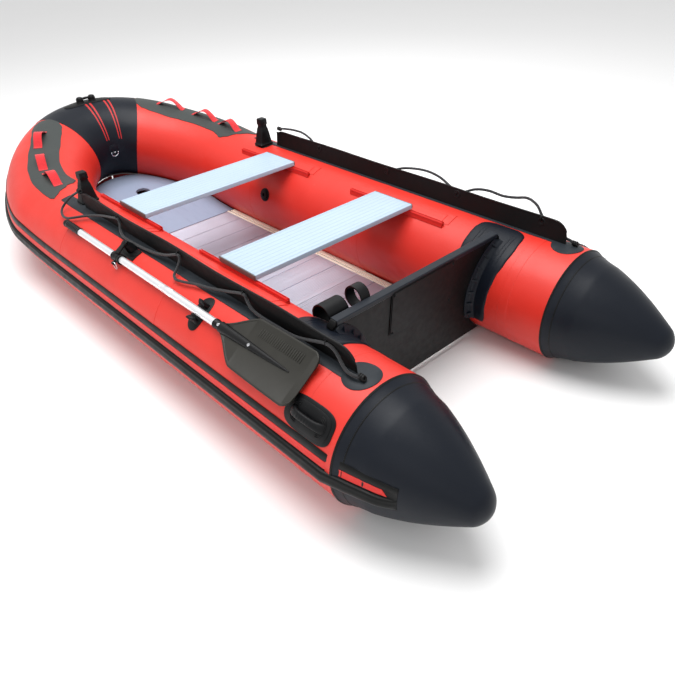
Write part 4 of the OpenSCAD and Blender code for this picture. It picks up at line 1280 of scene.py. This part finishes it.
def lift_handles():
    """A long rounded patch with a moulded grip that arches over it, with concentric ridges at both feet."""
    shape = Shape()

    for half_l, half_a, h0, h1 in ((0.103, 14.2, 0.0004, 0.0036), (0.09, 11.0, 0.0034, 0.0058)):
        glued(shape, oval(radians(half_a) * R, half_l, 52, 3.4), along(HANDLE_Y, HANDLE_A), stepped(h0, h1))
    frame_at = Matrix.Translation((CX, HANDLE_Y, R)) @ Matrix.Rotation(radians(90 - HANDLE_A), 4, "Y") \
        @ Matrix.Translation((0, 0, R + 0.002))
    line, sizes = [], []
    for t in spread(-1, 1, 36):
        z = 0.0235 * (1 - abs(t) ** 3.2) ** 0.75 - 0.001
        line.append((0, t * 0.066, z))
        sizes.append((0.0125 + 0.0045 * abs(t) ** 3, 0.0072 + 0.002 * abs(t) ** 3))
    rings = []
    for i, (x, y, z) in enumerate(line):
        a, b = Vector(line[max(i - 1, 0)]), Vector(line[min(i + 1, len(line) - 1)])
        t = (b - a).normalized()
        n = Vector((0, -t.z, t.y))
        w, d = sizes[i]
        ridge = 0.001 if i % 3 == 1 and 8 < i < 28 else 0.0
        rings.append([frame_at @ (Vector((u * (w + ridge), y, z)) + n * v * (d + ridge))
                      for u, v in oval(1, 1, 20, 2.5)])
    shape.loft(rings)
    for q in (-1, 1):
        for grow in (0.0, 0.0055, 0.011):
            arc = []
            for t in spread(-100, 100, 22):
                a = radians(t)
                x, y = (0.02 + grow) * sin(a), q * (0.05 + (0.014 + grow) * cos(a))
                arc.append(on(s_of(HANDLE_Y + y), HANDLE_A - degrees(x / R), 0.0062))
            shape.pipe(arc, 0.0016, 8)
    piece("stern_lift_handles", shape.both(), "rubber", "hull", "stern_handles", sharp=50)


# ---------------------------------------------------------------- oars
SHAFT_R = 0.015
OAR_A = 55
OAR_N = R + 0.006 + SHAFT_R
OAR = Matrix.Translation((CX, 0, R)) @ Matrix.Rotation(radians(90 - OAR_A), 4, "Y") \
    @ Matrix.Translation((0, 0, OAR_N))
BLADE_AFT, BLADE_FORE, BLADE_HALF, NECK_HALF = -1.205, -0.785, 0.1, 0.021
LOCK_Y, CLIP_Y, JOINT_Y = -0.045, -0.62, -0.41
GRIP_FORE, GRIP_L = 0.445, 0.1448
PIN_X = -0.062


def along_oar(profile):
    """Turns (radius, y) points round the oar's own axis."""
    turn = OAR @ Matrix(((1, 0, 0, 0), (0, 0, 1, 0), (0, -1, 0, 0), (0, 0, 0, 1)))
    return Shape().lathe(profile, turn, 36)


def blade_outline(y):
    """Half width of the blade at a station: square aft corners rounded off, a taper to the neck."""
    d = y - BLADE_AFT
    corner = 0.03
    if d < corner:
        return BLADE_HALF - 0.006 - corner + sqrt(max(0.0, corner**2 - (corner - d) ** 2)) + 0.006 * d / corner
    if d < 0.3:
        return BLADE_HALF - 0.004 * ((d - corner) / 0.27) ** 2
    t = (d - 0.3) / 0.12
    return lerp(BLADE_HALF - 0.004, NECK_HALF, smooth(t) * 0.35 + 0.65 * min(1, t))


def blade():
    """A flat moulded blade with a thick rim and rows of fine ribs; the tapering spine and tubular neck are drawn by
    blade_neck.
    """
    shape = Shape()
    ys = [BLADE_AFT + 0.03 * (1 - cos(radians(t))) for t in range(0, 91, 9)] + \
        spread(BLADE_AFT + 0.034, BLADE_FORE, 60)
    rings = []
    for y in ys:
        w = max(0.004, blade_outline(y))
        rim, web = 0.0042, 0.0022
        section = [(-w, 0), (-w + 0.0012, rim * 0.8), (-w + 0.003, rim), (-w + min(0.008, w * 0.2), rim),
                   (-w + min(0.011, w * 0.3), web), (0, web), (w - min(0.011, w * 0.3), web),
                   (w - min(0.008, w * 0.2), rim), (w - 0.003, rim), (w - 0.0012, rim * 0.8), (w, 0)]
        lower = [(x, -z) for x, z in reversed(section[1:-1])]
        cup = -0.004 * (1 - ((y - BLADE_AFT) / 0.42)) ** 2
        rings.append([OAR @ Vector((x, y, z + cup * (1 - (x / BLADE_HALF) ** 2))) for x, z in section + lower])
    shape.loft(rings)
    for i in range(22):
        y = BLADE_AFT + 0.06 + i * 0.0098
        for z in (-1, 1):
            shape.slab(rounded(0.034, 0.0034, 0.0015, 3, -0.056, y), z * 0.001, z * 0.003, OAR, 0.0006 * z)
    return shape


def blade_neck():
    """The dark socket that holds the shaft and tapers to a point down the blade."""
    shape, rings, tip, root = Shape(), [], BLADE_AFT + 0.075, BLADE_FORE + 0.012
    for y in spread(tip, root, 26):
        t = min(1, max(0, (y - tip) / (root - tip)))
        w, h = lerp(0.002, 0.02, t**0.7), lerp(0.0026, 0.0165, t**0.8)
        rings.append([OAR @ Vector((x, y, z)) for x, z in oval(w, h, 22, 2.2)])
    shape.loft(rings)
    shape.join(along_oar([(0.015, BLADE_FORE + 0.004), (0.0168, BLADE_FORE + 0.006), (0.0168, BLADE_FORE + 0.034),
                          (0.0178, BLADE_FORE + 0.036), (0.0178, BLADE_FORE + 0.0445), (0.016, BLADE_FORE + 0.045)]))
    return shape


def oar_shaft():
    """Where the shaft's two tubes join: the swaged sleeve with its spring button; the pins at the blade's neck are
    drawn in oars.
    """
    shape = along_oar([(SHAFT_R - 0.0005, JOINT_Y - 0.052), (SHAFT_R + 0.0007, JOINT_Y - 0.05),
                       (SHAFT_R + 0.0007, JOINT_Y - 0.002), (SHAFT_R - 0.0003, JOINT_Y)])
    button = OAR @ Matrix.Translation((0.004, JOINT_Y + 0.024, SHAFT_R - 0.002))
    shape.lathe([(0.004, 0), (0.004, 0.0035), (0.0028, 0.0048), (0.0006, 0.0052)], button, 18)
    return shape


def grip():
    y0, y1 = GRIP_FORE - GRIP_L, GRIP_FORE
    profile = [(0.0152, y0), (0.0176, y0 + 0.0015), (0.0182, y0 + 0.006), (0.0176, y0 + 0.01)]
    for i in range(9):
        y = y0 + 0.016 + i * 0.0115
        profile += [(0.016, y), (0.016, y + 0.0022), (0.0169, y + 0.0038), (0.0169, y + 0.0092), (0.016, y + 0.0108)]
    profile += [(0.0166, y1 - 0.018), (0.0178, y1 - 0.012), (0.0178, y1 - 0.005), (0.016, y1 - 0.001), (0.01, y1),
                (0.001, y1)]
    return along_oar(profile)


def oarlock():
    """A split collar with flanges, its arm and pin, the clamp knob, and a wire ring."""
    y = LOCK_Y
    shape = along_oar([(0.0158, y - 0.03), (0.0205, y - 0.03), (0.0212, y - 0.027), (0.0205, y - 0.024),
                       (0.0192, y - 0.0225), (0.0192, y + 0.0225), (0.0205, y + 0.024), (0.0212, y + 0.027),
                       (0.0205, y + 0.03), (0.0158, y + 0.03)])
    for z in (-0.012, 0.012):
        shape.join(along_oar([(0.019, y + z - 0.0022), (0.0203, y + z - 0.0012), (0.0203, y + z + 0.0012),
                              (0.019, y + z + 0.0022)]))
    arm = []
    for t in spread(0, 1, 12):
        x = lerp(-0.012, PIN_X, t)
        w = lerp(0.03, 0.022, t)
        arm.append([OAR @ Vector((x, y + a, 0.019 + b)) for a, b in rounded(w, 0.0085, 0.0035, 4)])
    shape.loft(arm)
    spot = OAR @ Matrix.Translation((PIN_X, y, 0.013))
    shape.lathe([(0.0125, 0), (0.0142, 0.0012), (0.0142, 0.0098), (0.0128, 0.0112), (0.007, 0.0115), (0.0066, 0.0128),
                 (0.001, 0.0132)], spot, 32)
    pin = OAR @ Matrix.Translation((PIN_X, y, -0.016))
    shape.lathe([(0.0048, 0), (0.0058, 0.0015), (0.0058, 0.031)], pin, 24)
    knob = OAR @ Matrix.Translation((0.018, y - 0.002, 0.004)) @ Matrix.Rotation(pi / 2, 4, "Y")
    shape.lathe([(0.0062, 0), (0.0062, 0.006), (0.0085, 0.008), (0.0092, 0.012), (0.0085, 0.0165), (0.005, 0.0185),
                 (0.001, 0.019)], knob, 22)
    ring = Shape()
    hang = OAR @ Matrix.Translation((0.034, y - 0.018, 0.002)) @ Matrix.Rotation(radians(62), 4, "Y")
    ring.pipe([hang @ Vector((0.0155 * cos(t), 0.0155 * sin(t), 0)) for t in
               [2 * pi * i / 40 for i in range(40)]], 0.0013, 10, loop=True)
    return shape, ring


def oars():
    for side, k in SIDES.items():
        body = f"{side}_oar"
        tube = show(f"{side}_shaft", "shaft")
        tube.data.shade_smooth()
        tube.data.set_sharp_from_angle(angle=radians(40))
        piece(f"{side}_shaft_joint", oar_shaft().mirrored(k), "shaft", body)
        piece(f"{side}_grip_sleeve", grip().mirrored(k), "black", body, f"{side}_grip",
              sharp=40)
        piece(f"{side}_oar_blade", blade().mirrored(k), "blade", body, f"{side}_blade",
              sharp=35)
        piece(f"{side}_blade_neck", blade_neck().mirrored(k), "black", body, sharp=35)
        pins = Shape()
        for y, z in ((BLADE_FORE + 0.014, 0.016), (BLADE_FORE - 0.15, 0.0096)):
            pins.lathe([(0.0058, 0), (0.0058, 0.002), (0.004, 0.0038), (0.0006, 0.0042)],
                       OAR @ Matrix.Translation((0.0, y, z)), 18)
        piece(f"{side}_blade_pins", pins.mirrored(k), "steel", body)
        clamp, ring = oarlock()
        piece(f"{side}_oarlock_clamp", clamp.mirrored(k), "black", body,
              f"{side}_oarlock", sharp=40)
        piece(f"{side}_oarlock_ring", ring.mirrored(k), "steel", body)


def lock_bases():
    show("oarlock_bases", "rubber", 0.0012)
    rims = Shape()
    for grow in (0.0, 0.008):
        arc = []
        for t in spread(20, 340, 40):
            a = radians(t)
            y, x = LOCK_Y + (0.044 + grow) * cos(a), (0.014 + grow * 0.4) * sin(a)
            arc.append(on(s_of(y), 66.8 + degrees(x / R), 0.0034))
        rims.pipe(arc, 0.0014, 8)
    piece("lock_base_ridges", rims.both(), "rubber", "hull")


def clips():
    """Rubber clips: an oval patch with a raised rim and two curved ears that hold the shaft between them."""
    shape = Shape()

    for rx, ry, h0, h1 in ((0.07, 0.036, 0.0004, 0.003), (0.062, 0.029, 0.0028, 0.0046)):
        glued(shape, oval(rx, ry, 44, 2.4), along(CLIP_Y, OAR_A), stepped(h0, h1))
    for q in (-1, 1):
        rings = []
        for t in spread(0, 1, 18):
            x_in = 0.0245 + 0.01 * max(0, t - 0.62) / 0.38
            thick = lerp(0.0185, 0.0075, smooth(t))
            wide = lerp(0.052, 0.03, t) * (1 - max(0, t - 0.8) * 1.2)
            z = lerp(-0.026, 0.012, t)
            rings.append([OAR @ Vector((q * (x_in + thick / 2) + q * u, CLIP_Y + v, z)) for u, v in
                          rounded(thick, wide, min(thick, wide) * 0.42, 5)])
        shape.loft(rings)
    piece("oar_clip_ears", shape.both(), "rubber", "hull", "oar_clips", sharp=45)


# ---------------------------------------------------------------- stage
def studio():
    floor_size = 40
    mesh = bpy.data.meshes.new("studio_floor")
    h = floor_size / 2
    mesh.from_pydata([(-h, -h, 0), (h, -h, 0), (h, h, 0), (-h, h, 0)], [], [(0, 1, 2, 3)])
    ground = bpy.data.objects.new("studio_floor", mesh)
    bpy.context.scene.collection.objects.link(ground)
    pale = Finish("studio_pale", linear(240, 240, 240), 0.9, specular=0.1)
    pale.mottled(0.005, 0.5)
    mesh.materials.append(pale.done(0.02, 1))
    world = bpy.data.worlds.new("studio")
    world.use_nodes = True
    world.node_tree.nodes["Background"].inputs["Color"].default_value = (1, 1, 1, 1)
    world.node_tree.nodes["Background"].inputs["Strength"].default_value = 0.78
    bpy.context.scene.world = world
    for name, place, aim, size, power in (
            ("overhead", (-0.2, 0.2, 5.0), (0, 0, 0), 4.6, 300),
            ("camera_side", (-3.8, -3.2, 3.0), (0, -0.2, 0.3), 2.5, 14),
            ("far_side", (3.6, 2.4, 3.2), (0, 0, 0.3), 2.5, 14)):
        light = bpy.data.lights.new(name, "AREA")
        light.shape, light.size, light.energy = "DISK", size, power
        lamp = bpy.data.objects.new(name, light)
        lamp.location = place
        lamp.rotation_euler = (Vector(aim) - Vector(place)).to_track_quat("-Z", "Y").to_euler()
        bpy.context.scene.collection.objects.link(lamp)
    bpy.context.scene.view_settings.view_transform = "Standard"


def camera():
    """The photograph's viewing angle: from off the port quarter at a standing person's eye height."""
    azimuth, elevation, roll = (radians(v) for v in (-41.4, 34.7, -2.8))
    target, distance = Vector((-0.228, -0.846, 0.2)), 2.581
    back = Vector((sin(azimuth) * cos(elevation), -cos(azimuth) * cos(elevation),
                   sin(elevation)))
    right = (-back).cross(Vector((0, 0, 1))).normalized()
    up = right.cross(-back)
    x = cos(roll) * right + sin(roll) * up
    y = -sin(roll) * right + cos(roll) * up
    lens = bpy.data.cameras.new("camera")
    lens.lens, lens.sensor_width, lens.sensor_fit = 35.41, 36, "HORIZONTAL"
    cam = bpy.data.objects.new("camera", lens)
    turn = Matrix((x, y, back)).transposed().to_4x4()
    turn.translation = target + back * distance
    cam.matrix_world = turn
    bpy.context.scene.collection.objects.link(cam)
    bpy.context.scene.camera = cam


camera()
hull_tubes()
lifelines()
cones()
nose_stripes()
bottom()
strakes()
transom()
holders()
floor()
seats()
tracks()
flaps()
grabs()
nose_handle()
tow_ring()
posts()
valves()
lift_handles()
oars()
lock_bases()
clips()
studio()
